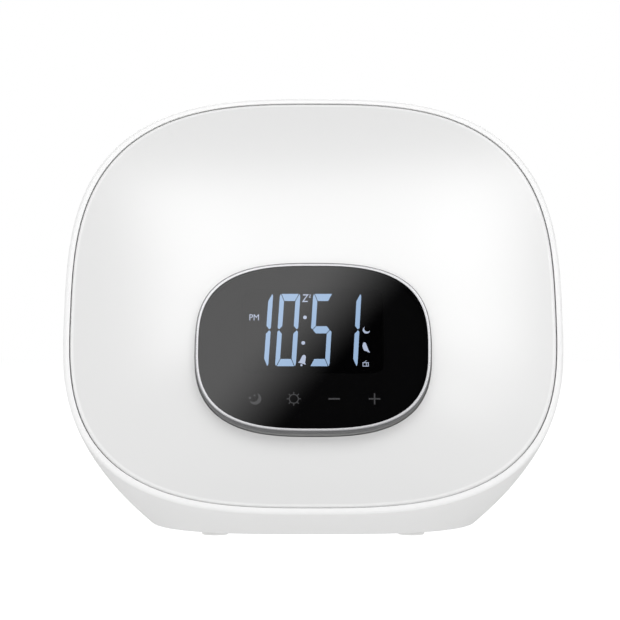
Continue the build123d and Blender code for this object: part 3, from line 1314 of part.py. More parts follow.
# Bayonet cover: disc in the floor's opening, two lugs over the floor, slot for a coin
with BuildPart() as cell_cover:
    with BuildSketch(Plane.XY.offset(FOOT_STAND + COVER_SINK)):
        with Locations((0, CELL_Y)):
            Circle(COVER_RADIUS)
    extrude(amount=BASE_WALL - COVER_SINK + LUG_LIFT + LUG_THICK)
    with BuildSketch(Plane.XY.offset(FLOOR_TOP + LUG_LIFT)):
        with Locations((0, CELL_Y)):
            Circle(LUG_RADIUS)
            Rectangle(2 * LUG_RADIUS, LUG_WIDTH, mode=Mode.INTERSECT)
    extrude(amount=LUG_THICK)
    with BuildSketch(Plane.XY.offset(FOOT_STAND + COVER_SINK)):
        with Locations((0, CELL_Y)):
            SlotOverall(COVER_SLOT_LENGTH, COVER_SLOT_WIDTH)
    extrude(amount=COVER_SLOT_DEPTH, mode=Mode.SUBTRACT)
cell_cover.part.label = "cell_cover"
export_step(cell_cover.part, "parts/cell_cover.step")

TAIL_Y = CELL_Y + WELL_RADIUS + WELL_WALL + CONTACT_TAIL
LEAF_TOP = WELL_TOP - CONTACT_THICK / 2
with BuildPart() as negative_contact:
    with BuildSketch(Plane.YZ.offset(-CONTACT_X - CONTACT_WIDTH / 2)):
        with BuildLine():
            Polyline(
                (CELL_Y, CELL_TOP + CONTACT_THICK / 2),
                (CELL_Y + CELL_RADIUS, LEAF_TOP),
                (TAIL_Y, LEAF_TOP),
                (TAIL_Y, CELL_BOTTOM),
            )
        trace(line_width=CONTACT_THICK)
    extrude(amount=CONTACT_WIDTH)
negative_contact.part.label = "negative_contact"
export_step(negative_contact.part, "parts/negative_contact.step")

# The positive contact's leaf stands beside the cell, just clear of its rim
LEAF_Y = CELL_Y + sqrt(CELL_RADIUS**2 - (CONTACT_X - CONTACT_WIDTH / 2) ** 2)
LEAF_Y = LEAF_Y + WINDOW_GAP + CONTACT_THICK / 2
with BuildPart() as positive_contact:
    with BuildSketch(Plane.YZ.offset(CONTACT_X - CONTACT_WIDTH / 2)):
        with BuildLine():
            Polyline(
                (LEAF_Y, CELL_BOTTOM),
                (LEAF_Y, LEAF_TOP),
                (TAIL_Y, LEAF_TOP),
                (TAIL_Y, CELL_BOTTOM),
            )
        trace(line_width=CONTACT_THICK)
    extrude(amount=CONTACT_WIDTH)
positive_contact.part.label = "positive_contact"
export_step(positive_contact.part, "parts/positive_contact.step")

# ----------------------------------------------------------------------------------------
# Leads between the boards, the speaker and the button cell
# ----------------------------------------------------------------------------------------

SOCKET_Y = REAR_Y - PARTS_FACE - SOCKET_THICK
DISPLAY_END = face_frame(
    TOWER_TOP - RIBBON_SOCKET_THICK, -DISPLAY_DROP - RIBBON_SOCKET_DROP
).origin
LED_END = face_frame(DISH_FLOOR - SOCKET_THICK, LED_BOARD_SHIFT).from_local_coords(
    (LED_SOCKET_SPOT[0], LED_SOCKET_SPOT[1], 0)
)
TERMINAL_Y = REAR_Y - FLANGE_BEHIND - SPEAKER_FLANGE - TERMINAL_THICK
TERMINAL_Z = SPEAKER_Z - TERMINAL_DROP

display_route = [
    (0, DISPLAY_END.Y, DISPLAY_END.Z),
    (0, DISPLAY_END.Y + 18 * cos(radians(FACE_TILT)), DISPLAY_END.Z - 18 * sin(radians(FACE_TILT))),
    (-9, SOCKET_Y - 28, SOCKET_Z + 3),
    (-1.5 * SOCKET_PITCH, SOCKET_Y - 13, SOCKET_Z),
    (-1.5 * SOCKET_PITCH, SOCKET_Y, SOCKET_Z),
]
led_route = [
    (LED_END.X, LED_END.Y, LED_END.Z),
    (LED_END.X, LED_END.Y + 10 * cos(radians(FACE_TILT)), LED_END.Z - 10 * sin(radians(FACE_TILT))),
    (LED_END.X - 6, LED_END.Y + 15, LED_END.Z - 19),
    (1.5 * SOCKET_PITCH + 16, SOCKET_Y - 14, SOCKET_Z + 14),
    (1.5 * SOCKET_PITCH, SOCKET_Y - 12, SOCKET_Z),
    (1.5 * SOCKET_PITCH, SOCKET_Y, SOCKET_Z),
]
speaker_route = [
    (TERMINAL_X, TERMINAL_Y, TERMINAL_Z),
    (TERMINAL_X, TERMINAL_Y - 12, TERMINAL_Z),
    (TERMINAL_X - 3, TERMINAL_Y - 20, TERMINAL_Z - 8),
    (0.5 * SOCKET_PITCH, SOCKET_Y - 9, SOCKET_Z),
    (0.5 * SOCKET_PITCH, SOCKET_Y, SOCKET_Z),
]

with BuildPart() as display_lead:
    add(tube(display_route, bend_radii(display_route), LEAD_RADIUS))
display_lead.part.label = "display_lead"
export_step(display_lead.part, "parts/display_lead.step")

with BuildPart() as led_lead:
    add(tube(led_route, bend_radii(led_route), LEAD_RADIUS))
led_lead.part.label = "led_lead"
export_step(led_lead.part, "parts/led_lead.step")

with BuildPart() as speaker_lead:
    add(tube(speaker_route, bend_radii(speaker_route), LEAD_RADIUS))
speaker_lead.part.label = "speaker_lead"
export_step(speaker_lead.part, "parts/speaker_lead.step")

with BuildPart() as cell_leads:
    for side in (-1, 1):
        socket_x = -0.5 * SOCKET_PITCH + side * 2 * LEAD_RADIUS
        cell_route = [
            (side * CONTACT_X, TAIL_Y, WELL_TOP),
            (side * CONTACT_X, TAIL_Y, WELL_TOP + 8),
            (side * CONTACT_X - 1, TAIL_Y - 3, WELL_TOP + 20),
            (socket_x, SOCKET_Y - 7, SOCKET_Z - 8),
            (socket_x, SOCKET_Y - 6, SOCKET_Z),
            (socket_x, SOCKET_Y, SOCKET_Z),
        ]
        add(tube(cell_route, bend_radii(cell_route), LEAD_RADIUS))
cell_leads.part.label = "cell_leads"
export_step(cell_leads.part, "parts/cell_leads.step")
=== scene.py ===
# %% [markdown]
# # A sunrise alarm clock, dressed in Blender
# The solids of the clock come from the CAD model, already in place. This lesson gives them
# their finishes, adds what is printed or too fine for the solids, and lights the whole as in
# a small product studio. Lengths are written in millimetres, and MM turns them into
# Blender's metres. Only the floor, the lamps and the card are written in metres.

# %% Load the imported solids
import bpy, bmesh, json, math
from mathutils import Matrix, Vector


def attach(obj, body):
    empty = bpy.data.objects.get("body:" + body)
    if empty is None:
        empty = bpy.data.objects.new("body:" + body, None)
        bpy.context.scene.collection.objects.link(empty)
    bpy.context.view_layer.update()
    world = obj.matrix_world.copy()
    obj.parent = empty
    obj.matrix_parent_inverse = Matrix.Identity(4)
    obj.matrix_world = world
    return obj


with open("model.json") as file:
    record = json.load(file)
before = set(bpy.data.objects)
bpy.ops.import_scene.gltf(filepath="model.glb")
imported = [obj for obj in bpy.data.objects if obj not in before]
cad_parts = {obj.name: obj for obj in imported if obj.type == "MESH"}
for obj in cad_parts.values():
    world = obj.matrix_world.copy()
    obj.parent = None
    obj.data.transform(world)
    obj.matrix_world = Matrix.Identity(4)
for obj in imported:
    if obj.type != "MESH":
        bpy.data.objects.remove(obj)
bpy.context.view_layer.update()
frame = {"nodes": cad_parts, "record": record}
nodes = frame["nodes"]
MM = 0.001

# %% [markdown]
# ## Where things are on the leaning face
# The face leans back by 18 degrees. Everything on it is easier to place in the face's own
# directions: across, up the face, and out of it. They start from the middle of the housing's
# rim. One matrix turns such a place into the clock's frame, so no piece has to be turned by
# hand.

# %% The face's own directions
TILT = math.radians(18.0)
RIM_Y, RIM_Z = -22.7, 90.2
FACE_UP = (0, math.sin(TILT), math.cos(TILT))
FACE_OUT = (0, -math.cos(TILT), math.sin(TILT))


def face_matrix(up, out):
    """Places flat work on the face: X across, Y up the face and Z out of it."""
    origin = [start + up * u + out * o for start, u, o in zip((0, RIM_Y, RIM_Z), FACE_UP, FACE_OUT)]
    turn = Matrix(((1, 0, 0), FACE_UP, FACE_OUT)).transposed()
    return Matrix.Translation(Vector(origin) * MM) @ turn.to_4x4()


WINDOW_UP, WINDOW_FRONT, WINDOW_BACK, GLASS_FRONT = -18.0, 14.0, 12.0, 11.8
window_middle = face_matrix(WINDOW_UP, WINDOW_FRONT).to_translation()
print("window centre at", [round(v / MM, 2) for v in window_middle])

# %% [markdown]
# ## Camera
# A long lens about three quarters of a metre from the rim, level, at the height of the
# middle of the face. A shift of a few pixels frames the clock without tilting the camera, so
# uprights stay upright.

# %% Make the camera
PICTURE, SENSOR = 620, 36.0
CAMERA_AWAY, EYE_HEIGHT, MM_PER_PIXEL = 760.0, 89.2, 0.4008
SHIFT_X, SHIFT_Y = -3.2, 6.1


def add(name, data):
    """A new object in the scene."""
    thing = bpy.data.objects.new(name, data)
    bpy.context.scene.collection.objects.link(thing)
    return thing


lens_data = bpy.data.cameras.new("studio_camera")
lens_data.sensor_width = SENSOR
lens_data.lens = SENSOR * CAMERA_AWAY / (PICTURE * MM_PER_PIXEL)
lens_data.shift_x, lens_data.shift_y = SHIFT_X / PICTURE, SHIFT_Y / PICTURE
camera = add("studio_camera", lens_data)
camera.location = Vector((0, RIM_Y - CAMERA_AWAY, EYE_HEIGHT)) * MM
camera.rotation_euler = (math.radians(90), 0, 0)
bpy.context.scene.camera = camera
print("lens", round(lens_data.lens, 1), "mm")

# %% [markdown]
# ## Small helpers for node trees
# A material is a short chain: a pattern group gives colour, roughness and height, and the
# shader in the material uses them. These helpers keep each material to a few lines. What
# they take is a number, a colour or another node's output, and `link` tells which it is.


# %% Links and maths
def link(tree, value, socket):
    """Feeds a socket from a node's output, or gives it a number or a colour."""
    if hasattr(value, "links"):
        tree.links.new(value, socket)
    else:
        socket.default_value = value


def maths(tree, operation, *values):
    made = tree.nodes.new("ShaderNodeMath")
    made.operation = operation
    for socket, value in zip(made.inputs, values):
        link(tree, value, socket)
    return made.outputs[0]


print("helpers: link and maths")


# %% Where a pattern is read
def own_place(tree):
    """Where a point is in the clock's frame, in metres."""
    return tree.nodes.new("ShaderNodeTexCoord").outputs["Object"]


def parts_of(tree, vector):
    """The X, Y and Z of a place or a direction."""
    made = tree.nodes.new("ShaderNodeSeparateXYZ")
    link(tree, vector, made.inputs[0])
    return made.outputs


print("helpers: own_place and parts_of")


# %% Noise and mixed colours
def noise(tree, scale, detail, coords, rough=0.5):
    """A cloud of noise with so many spots to the metre."""
    made = tree.nodes.new("ShaderNodeTexNoise")
    for key, value in (("Scale", scale), ("Detail", detail), ("Vector", coords), ("Roughness", rough)):
        link(tree, value, made.inputs[key])
    return made.outputs["Fac"]


def tint(tree, mask, a, b):
    """Mix of two colours by a mask. A Mix node keeps its colours in the sockets 6 and 7."""
    made = tree.nodes.new("ShaderNodeMix")
    made.data_type = "RGBA"
    for place, value in ((0, mask), (6, a), (7, b)):
        link(tree, value, made.inputs[place])
    return made.outputs[2]


print("helpers: noise and tint")

# %% [markdown]
# ## Pattern groups
# Moulded plastic is never perfectly even: the mould is spark-eroded to a fine grain, the
# melt flows and leaves a faint mottle, and hands polish some places. `moulded_skin` gives
# all of that from a few numbers, in millimetres, so that each plastic gets its own values.


# %% What the groups share
def new_group(name, inputs, outputs):
    """An empty shader group with named sockets, and its two end nodes."""
    tree = bpy.data.node_groups.new(name, "ShaderNodeTree")
    kinds = {"f": "NodeSocketFloat", "c": "NodeSocketColor"}
    for label, kind, default in inputs:
        socket = tree.interface.new_socket(label, in_out="INPUT", socket_type=kinds[kind])
        socket.default_value = default
    for label, kind in outputs:
        tree.interface.new_socket(label, in_out="OUTPUT", socket_type=kinds[kind])
    return tree, tree.nodes.new("NodeGroupInput"), tree.nodes.new("NodeGroupOutput")


def wander(tree, given, pattern):
    """Roughness that goes up and down by the spread, as the pattern does."""
    swing = maths(tree, "MULTIPLY", maths(tree, "SUBTRACT", pattern, 0.5), given["Spread"])
    return maths(tree, "ADD", given["Roughness"], maths(tree, "MULTIPLY", swing, 2.0))


PATTERN = [("Colour", "c"), ("Roughness", "f"), ("Height", "f")]
print("each pattern gives", ", ".join(label for label, kind in PATTERN))

# %% Group: moulded plastic skin
MOTTLE_SCALE, SMEAR_SCALE = 38.0, 130.0
DUST_TONE, DUST_ROUGHER = (0.62, 0.60, 0.57, 1), 0.3


def make_moulded_skin():
    tree, start, end = new_group(
        "moulded_skin",
        [("Colour", "c", (0.8, 0.8, 0.8, 1)), ("Mottle", "f", 0.02), ("Grain mm", "f", 0.35),
         ("Roughness", "f", 0.4), ("Spread", "f", 0.05), ("Dust", "f", 0.0)], PATTERN)
    given, place = start.outputs, own_place(tree)
    grain = noise(tree, maths(tree, "DIVIDE", 1 / MM, given["Grain mm"]), 2.0, place)
    cloud = noise(tree, MOTTLE_SCALE, 3.0, place)
    smear = noise(tree, SMEAR_SCALE, 4.0, place, 0.6)
    mottled = tree.nodes.new("ShaderNodeHueSaturation")
    link(tree, given["Colour"], mottled.inputs["Color"])
    shade = maths(tree, "MULTIPLY_ADD", maths(tree, "SUBTRACT", cloud, 0.5), given["Mottle"], 1.0)
    link(tree, shade, mottled.inputs["Value"])
    upward = parts_of(tree, tree.nodes.new("ShaderNodeNewGeometry").outputs["Normal"])["Z"]
    lying = maths(tree, "MULTIPLY", maths(tree, "MAXIMUM", upward, 0.0), given["Dust"])
    lying = maths(tree, "MULTIPLY", lying, smear)
    link(tree, tint(tree, lying, mottled.outputs["Color"], DUST_TONE), end.inputs["Colour"])
    rough = maths(tree, "MULTIPLY_ADD", lying, DUST_ROUGHER, wander(tree, given, smear))
    link(tree, rough, end.inputs["Roughness"])
    link(tree, grain, end.inputs["Height"])
    return tree


moulded_skin = make_moulded_skin()
print("group", moulded_skin.name, "with", len(moulded_skin.nodes), "nodes")

# %% [markdown]
# Metal sheet is rolled or drawn: its fine lines run one way and stretch a noise a long way
# along that direction. `drawn_metal` stretches along X, and less on a small turned part than
# on a sheet. A stain here and there takes the shine off.

# %% Group: rolled or turned metal
LINE_SCALE, STAIN_SCALE = 2600.0, 160.0
STAIN_TONE, STAIN_ROUGHER = (0.16, 0.14, 0.12, 1), 0.5


def make_drawn_metal():
    tree, start, end = new_group(
        "drawn_metal",
        [("Colour", "c", (0.6, 0.6, 0.6, 1)), ("Stretch", "f", 30.0), ("Roughness", "f", 0.3),
         ("Spread", "f", 0.08), ("Tarnish", "f", 0.05)], PATTERN)
    given, place = start.outputs, own_place(tree)
    across, along, up = parts_of(tree, place)
    stretched = tree.nodes.new("ShaderNodeCombineXYZ")
    across = maths(tree, "DIVIDE", across, given["Stretch"])
    for socket, value in zip(stretched.inputs, (across, along, up)):
        link(tree, value, socket)
    lines = noise(tree, LINE_SCALE, 3.0, stretched.outputs[0], 0.6)
    stain = maths(tree, "MULTIPLY", noise(tree, STAIN_SCALE, 4.0, place, 0.6), given["Tarnish"])
    link(tree, tint(tree, stain, given["Colour"], STAIN_TONE), end.inputs["Colour"])
    rough = maths(tree, "MULTIPLY_ADD", stain, STAIN_ROUGHER, wander(tree, given, lines))
    link(tree, rough, end.inputs["Roughness"])
    link(tree, lines, end.inputs["Height"])
    return tree


drawn_metal = make_drawn_metal()
print("group", drawn_metal.name, "with", len(drawn_metal.nodes), "nodes")

# %% [markdown]
# A circuit board carries copper traces and round pads under a solder mask. A brick pattern
# turned flat on the board draws the traces, and the cells of a Voronoi pattern the pads.

# %% Group: traces under a solder mask
TRACES = {"Scale": 120.0, "Mortar Size": 0.03, "Brick Width": 1.3, "Row Height": 0.22}
TRACE_OFFSET, PAD_SCALE, PAD_RADIUS, PAD_SHARE = 0.37, 260.0, 0.18, 0.8
WASH_SCALE, WASH_SHARE, BOARD_ROUGH, TRACE_SMOOTHER = 60.0, 0.25, 0.34, 0.08


def make_board_traces():
    tones = [(label, "c", (0.5, 0.5, 0.5, 1)) for label in ("Mask", "Shade", "Trace")]
    tree, start, end = new_group("board_traces", tones, PATTERN)
    given, place = start.outputs, own_place(tree)
    turn = tree.nodes.new("ShaderNodeMapping")
    turn.inputs["Rotation"].default_value = (math.radians(90), 0, 0)
    link(tree, place, turn.inputs["Vector"])
    bricks = tree.nodes.new("ShaderNodeTexBrick")
    bricks.offset = TRACE_OFFSET
    for key, value in TRACES.items():
        bricks.inputs[key].default_value = value
    link(tree, turn.outputs["Vector"], bricks.inputs["Vector"])
    cells = tree.nodes.new("ShaderNodeTexVoronoi")
    cells.inputs["Scale"].default_value = PAD_SCALE
    link(tree, place, cells.inputs["Vector"])
    pads = maths(tree, "LESS_THAN", cells.outputs["Distance"], PAD_RADIUS)
    copper = maths(tree, "MAXIMUM", bricks.outputs["Fac"], maths(tree, "MULTIPLY", pads, PAD_SHARE))
    cloud = maths(tree, "MULTIPLY", noise(tree, WASH_SCALE, 3.0, place), WASH_SHARE)
    wash = tint(tree, cloud, given["Mask"], given["Shade"])
    link(tree, tint(tree, copper, wash, given["Trace"]), end.inputs["Colour"])
    rough = maths(tree, "MULTIPLY_ADD", copper, -TRACE_SMOOTHER, BOARD_ROUGH)
    link(tree, rough, end.inputs["Roughness"])
    link(tree, copper, end.inputs["Height"])
    return tree


board_traces = make_board_traces()
print("group", board_traces.name, "with", len(board_traces.nodes), "nodes")

# %% [markdown]
# ## Finishes
# `finish` makes a material from one of those groups. The numbers that are the same all over
# the surface, such as the coat or the index of refraction, are set on the shader itself.


# %% What a finish starts from
def new_material(name):
    """A material, its node tree and its shader."""
    material = bpy.data.materials.new(name)
    material.use_nodes = True
    return material, material.node_tree, material.node_tree.nodes["Principled BSDF"]


def place_group(tree, group, values):
    """Puts a group in a tree with its own values, and returns what it gives."""
    made = tree.nodes.new("ShaderNodeGroup")
    made.node_tree = group
    for key, value in values.items():
        made.inputs[key].default_value = (*value, 1) if isinstance(value, tuple) else value
    return made.outputs


def add_relief(tree, height, deep, shader):
    """Bumps so many millimetres deep."""
    relief = tree.nodes.new("ShaderNodeBump")
    relief.inputs["Distance"].default_value = deep * MM
    link(tree, height, relief.inputs["Height"])
    link(tree, relief.outputs["Normal"], shader.inputs["Normal"])


print("helpers: new_material, place_group and add_relief")


# %% One function for every plastic, metal and board
def finish(name, group, values, bump, metallic=0.0, **own):
    """A material whose colour, roughness and height come from a pattern group."""
    material, tree, shader = new_material(name)
    pattern = place_group(tree, group, values)
    link(tree, pattern["Colour"], shader.inputs["Base Color"])
    link(tree, pattern["Roughness"], shader.inputs["Roughness"])
    add_relief(tree, pattern["Height"], bump, shader)
    shader.inputs["Metallic"].default_value = metallic
    for key, value in own.items():
        shader.inputs[key.replace("_", " ")].default_value = value
    return material


print("finish takes any pattern group")


# %% Plastic, metal and board
def plastic(name, colour, roughness, mottle=0.02, grain=0.35, spread=0.04, bump=0.004, dust=0.0, **own):
    values = {"Colour": colour, "Roughness": roughness, "Mottle": mottle, "Grain mm": grain,
              "Spread": spread, "Dust": dust}
    return finish(name, moulded_skin, values, bump, **own)


def metal(name, colour, roughness, stretch=30.0, spread=0.08, tarnish=0.05, bump=0.002, **own):
    values = {"Colour": colour, "Roughness": roughness, "Stretch": stretch, "Spread": spread,
              "Tarnish": tarnish}
    return finish(name, drawn_metal, values, bump, 1.0, **own)


def board(name, mask, trace):
    values = {"Mask": mask, "Shade": tuple(0.6 * c for c in mask), "Trace": trace}
    return finish(name, board_traces, values, 0.03, Coat_Weight=0.4)


print("plastic, metal and board each name their own numbers")

# %% [markdown]
# The finishes go by the material slots of the parts list. White housings are satin ABS from
# a spark-eroded mould. The diffuser is opal polycarbonate, smoother and a little deeper in
# colour. Rubber, foam and paper are matt, and the laminate under the speaker's terminals
# shows the mottle of its paper. Each row gives a colour, a roughness, and what differs from
# plain moulded plastic.

# %% Plastics, rubber, paper and paint
PLASTICS = {
    "housing_white": ((0.90, 0.90, 0.896), 0.42, dict(bump=0.003, dust=0.03, Coat_Weight=0.5,
                                                      Coat_Roughness=0.3)),
    "diffuser_opal": ((0.86, 0.86, 0.858), 0.26, dict(mottle=0.01, spread=0.015, bump=0.001,
                                                      Coat_Weight=1.0, Coat_Roughness=0.26,
                                                      Specular_IOR_Level=0.8)),
    "cover_white": ((0.83, 0.83, 0.82), 0.45, dict(dust=0.02)),
    "key_white": ((0.82, 0.82, 0.81), 0.38, dict(grain=0.3)),
    "reflector_white": ((0.9, 0.9, 0.89), 0.3, dict(mottle=0.015)),
    "holder_black": ((0.03, 0.03, 0.03), 0.5, {}),
    "jack_black": ((0.03, 0.03, 0.03), 0.4, dict(bump=0.006)),
    "chip_black": ((0.035, 0.035, 0.04), 0.55, dict(grain=0.2, bump=0.01)),
    "switch_black": ((0.05, 0.05, 0.05), 0.45, {}),
    "plunger_black": ((0.05, 0.05, 0.05), 0.4, {}),
    "socket_white": ((0.82, 0.79, 0.7), 0.42, dict(mottle=0.05)),
    "foot_rubber": ((0.92, 0.92, 0.91), 0.5, dict(mottle=0.05, grain=0.5, bump=0.005)),
    "grommet_rubber": ((0.27, 0.27, 0.27), 0.7, dict(mottle=0.1, grain=0.4, bump=0.015)),
    "surround_rubber": ((0.04, 0.04, 0.04), 0.6, dict(mottle=0.1, bump=0.01)),
    "elastomer_black": ((0.05, 0.05, 0.05), 0.7, dict(bump=0.01)),
    "elastomer_grey": ((0.42, 0.42, 0.42), 0.65, dict(bump=0.01)),
    "gasket_foam": ((0.06, 0.06, 0.06), 0.95, dict(mottle=0.3, grain=0.6, bump=0.12)),
    "cap_paper": ((0.055, 0.055, 0.055), 0.85, dict(mottle=0.3, grain=0.5, bump=0.05)),
    "cone_paper": ((0.07, 0.07, 0.07), 0.9, dict(mottle=0.35, grain=0.7, bump=0.08)),
    "basket_steel": ((0.06, 0.06, 0.065), 0.35, dict(mottle=0.08, grain=0.9, bump=0.03,
                                                     Coat_Weight=0.2)),
    "magnet_ferrite": ((0.09, 0.09, 0.1), 0.6, dict(mottle=0.3, grain=0.5, bump=0.03)),
    "lead_black": ((0.04, 0.04, 0.04), 0.5, {}),
    "lead_grey": ((0.45, 0.45, 0.47), 0.5, {}),
    "lead_red": ((0.5, 0.04, 0.035), 0.5, {}),
    "lead_white": ((0.82, 0.82, 0.8), 0.5, {}),
    "light_guide": ((0.86, 0.88, 0.9), 0.35, dict(spread=0.02, Subsurface_Weight=0.2,
                                                  Subsurface_Scale=0.002)),
    "led_yellow": ((0.9, 0.74, 0.22), 0.3, dict(mottle=0.1, Coat_Weight=0.5)),
    "terminal_board": ((0.36, 0.22, 0.1), 0.5, dict(mottle=0.5, grain=0.8, bump=0.02)),
    "capacitor_can": ((0.05, 0.06, 0.12), 0.3, dict(mottle=0.1, Coat_Weight=0.3)),
}
finishes = {name: plastic(name, colour, roughness, **more)
            for name, (colour, roughness, more) in PLASTICS.items()}
print(len(finishes), "finishes without metal")

# %% Metals and circuit boards
METALS = {
    "bezel_silver": ((0.38, 0.38, 0.39), 0.27, dict(stretch=8.0, spread=0.03, tarnish=0.02,
                                                    bump=0.0005)),
    "cell_steel": ((0.72, 0.72, 0.71), 0.25, dict(tarnish=0.04)),
    "contact_brass": ((0.78, 0.64, 0.36), 0.28, dict(tarnish=0.08)),
    "plate_steel": ((0.62, 0.62, 0.56), 0.38, dict(tarnish=0.1)),
    "screw_steel": ((0.58, 0.58, 0.6), 0.32, dict(stretch=4.0, tarnish=0.06)),
    "coil_copper": ((0.7, 0.34, 0.16), 0.3, dict(stretch=60.0, spread=0.15, bump=0.02)),
}
for name, (colour, roughness, more) in METALS.items():
    finishes[name] = metal(name, colour, roughness, **more)
finishes["board_green"] = board("board_green", (0.02, 0.17, 0.07), (0.07, 0.33, 0.13))
finishes["board_white"] = board("board_white", (0.84, 0.84, 0.82), (0.74, 0.74, 0.72))
print(len(METALS), "metals, and boards in green for the electronics and white for the lights")

# %% [markdown]
# The spider that centres the voice coil is a corrugated cloth. Its rolls are rings round the
# speaker's axis, so a sine of the distance from that axis draws them, and a fine noise is
# the weave.

# %% The spider's cloth
CLOTH_DARK, CLOTH_LIGHT, CLOTH_ROUGH = (0.5, 0.36, 0.14, 1), (0.78, 0.64, 0.36, 1), 0.75
AXIS_Z, ROLL_PITCH, ROLL_DEEP, WEAVE_SCALE = 88.0, 1.6, 0.25, 2600.0
ROLL_SHARE, ROLL_MIDDLE, WEAVE_SHARE, WEAVE_ROUGHER = 0.25, 0.3, 0.4, 0.15
cloth, tree, shader = new_material("spider_cloth")
centred = tree.nodes.new("ShaderNodeMapping")
centred.inputs["Location"].default_value = (0, 0, -AXIS_Z * MM)
centred.inputs["Scale"].default_value = (1, 0, 1)
link(tree, own_place(tree), centred.inputs["Vector"])
reach = tree.nodes.new("ShaderNodeVectorMath")
reach.operation = "LENGTH"
link(tree, centred.outputs["Vector"], reach.inputs[0])
turns = maths(tree, "MULTIPLY", reach.outputs["Value"], 2 * math.pi / (ROLL_PITCH * MM))
rolls = maths(tree, "MULTIPLY_ADD", maths(tree, "SINE", turns), ROLL_SHARE, ROLL_MIDDLE)
weave = noise(tree, WEAVE_SCALE, 2.0, own_place(tree))
threads = maths(tree, "MULTIPLY_ADD", weave, WEAVE_SHARE, rolls)
link(tree, tint(tree, threads, CLOTH_DARK, CLOTH_LIGHT), shader.inputs["Base Color"])
rough = maths(tree, "MULTIPLY_ADD", weave, WEAVE_ROUGHER, CLOTH_ROUGH)
link(tree, rough, shader.inputs["Roughness"])
add_relief(tree, threads, ROLL_DEEP, shader)
finishes["spider_cloth"] = cloth
print("cloth with rolls", ROLL_PITCH, "mm apart")

# %% [markdown]
# ## A mask by height on the face
# Some tones on the front change with the distance out of the face: the ring's bright edge,
# the painted shade on its wall and the painted reflection at its foot, and the painted
# highlight on the housing's rim. A group measures that distance and gives a mask between two
# heights, so each place needs only its own two numbers.


# %% Distance along the face, and a ramp
def along_face(tree, direction):
    """How far a point lies from the middle of the rim along a direction, in mm."""
    made = tree.nodes.new("ShaderNodeVectorMath")
    made.operation = "DOT_PRODUCT"
    made.inputs[1].default_value = direction
    link(tree, own_place(tree), made.inputs[0])
    rim = RIM_Y * direction[1] + RIM_Z * direction[2]
    return maths(tree, "MULTIPLY_ADD", made.outputs["Value"], 1 / MM, -rim)


def ramp(tree, value, low, high, smooth=False):
    """A mask that goes from 0 at low to 1 at high."""
    made = tree.nodes.new("ShaderNodeMapRange")
    made.interpolation_type = "SMOOTHSTEP" if smooth else "LINEAR"
    for key, given in (("Value", value), ("From Min", low), ("From Max", high)):
        link(tree, given, made.inputs[key])
    return made.outputs[0]


print("helpers: along_face and ramp")


# %% Group: a mask between two heights
def make_face_height():
    heights = [("From mm", "f", 0.0), ("To mm", "f", 1.0)]
    tree, start, end = new_group("face_height", heights, [("Mask", "f")])
    given = start.outputs
    mask = ramp(tree, along_face(tree, FACE_OUT), given["From mm"], given["To mm"])
    link(tree, mask, end.inputs["Mask"])
    return tree


face_height = make_face_height()


def height_mask(tree, low, high):
    return place_group(tree, face_height, {"From mm": low, "To mm": high})["Mask"]


print("group", face_height.name, "with", len(face_height.nodes), "nodes")

# %% [markdown]
# ## Bezel with a polished edge
# The ring round the display is metallised plastic. Its narrow front face is polished
# bright. The wall that rounds over and goes down into the diffuser is more matt, and its
# colour is darkened as painted shade. Towards its foot it is paler again, as a painted
# reflection of the diffuser beside it.

# %% Open a finish for more nodes
def opened(slot):
    """A finish that gets more nodes: its tree, its shader and what its pattern gives."""
    tree = finishes[slot].node_tree
    shader = tree.nodes["Principled BSDF"]
    return tree, shader, shader.inputs["Base Color"].links[0].from_node.outputs


print("the ring's finish has", len(opened("bezel_silver")[0].nodes), "nodes so far")

# %% The ring's edge, wall and foot
EDGE_FROM, EDGE_TO = 14.1, 14.27
FOOT_FROM, FOOT_TO = 7.6, 11.2
# The wall's darker tone is painted shade, and the paler tone at its foot is a painted reflection of the
# diffuser.
FOOT_PAINTED_REFLECTION, WALL_PAINTED_SHADE = (0.62, 0.62, 0.62, 1), (0.19, 0.19, 0.195, 1)
WALL_ROUGHER, EDGE_SMOOTHER = 0.2, 0.22
tree, shader, pattern = opened("bezel_silver")
edge = height_mask(tree, EDGE_FROM, EDGE_TO)
# The wall's colour: painted shade, going paler towards the foot as a painted reflection.
painted_wall_colour = tint(tree, height_mask(tree, FOOT_FROM, FOOT_TO), FOOT_PAINTED_REFLECTION, WALL_PAINTED_SHADE)
link(tree, tint(tree, edge, painted_wall_colour, pattern["Colour"]), shader.inputs["Base Color"])
wall_rough = maths(tree, "ADD", pattern["Roughness"], WALL_ROUGHER)
rough = maths(tree, "MULTIPLY_ADD", edge, -EDGE_SMOOTHER, wall_rough)
link(tree, rough, shader.inputs["Roughness"])
print("bezel edge bright from", EDGE_FROM, "mm above the rim's plane")

# %% [markdown]
# The housing's rim stands round the diffuser and catches the light of its edge. That
# highlight is painted: the rim's colour is a little paler than the body behind it.

# %% The housing's rim, with a painted highlight
# The paler rim tone is a painted highlight.
RIM_FROM, RIM_TO, RIM_PAINTED_HIGHLIGHT = -0.9, -0.15, (0.985, 0.985, 0.985, 1)
tree, shader, pattern = opened("housing_white")
rim = height_mask(tree, RIM_FROM, RIM_TO)
link(tree, tint(tree, rim, pattern["Colour"], RIM_PAINTED_HIGHLIGHT), shader.inputs["Base Color"])
print("rim pale from", RIM_TO, "mm above the rim's plane")
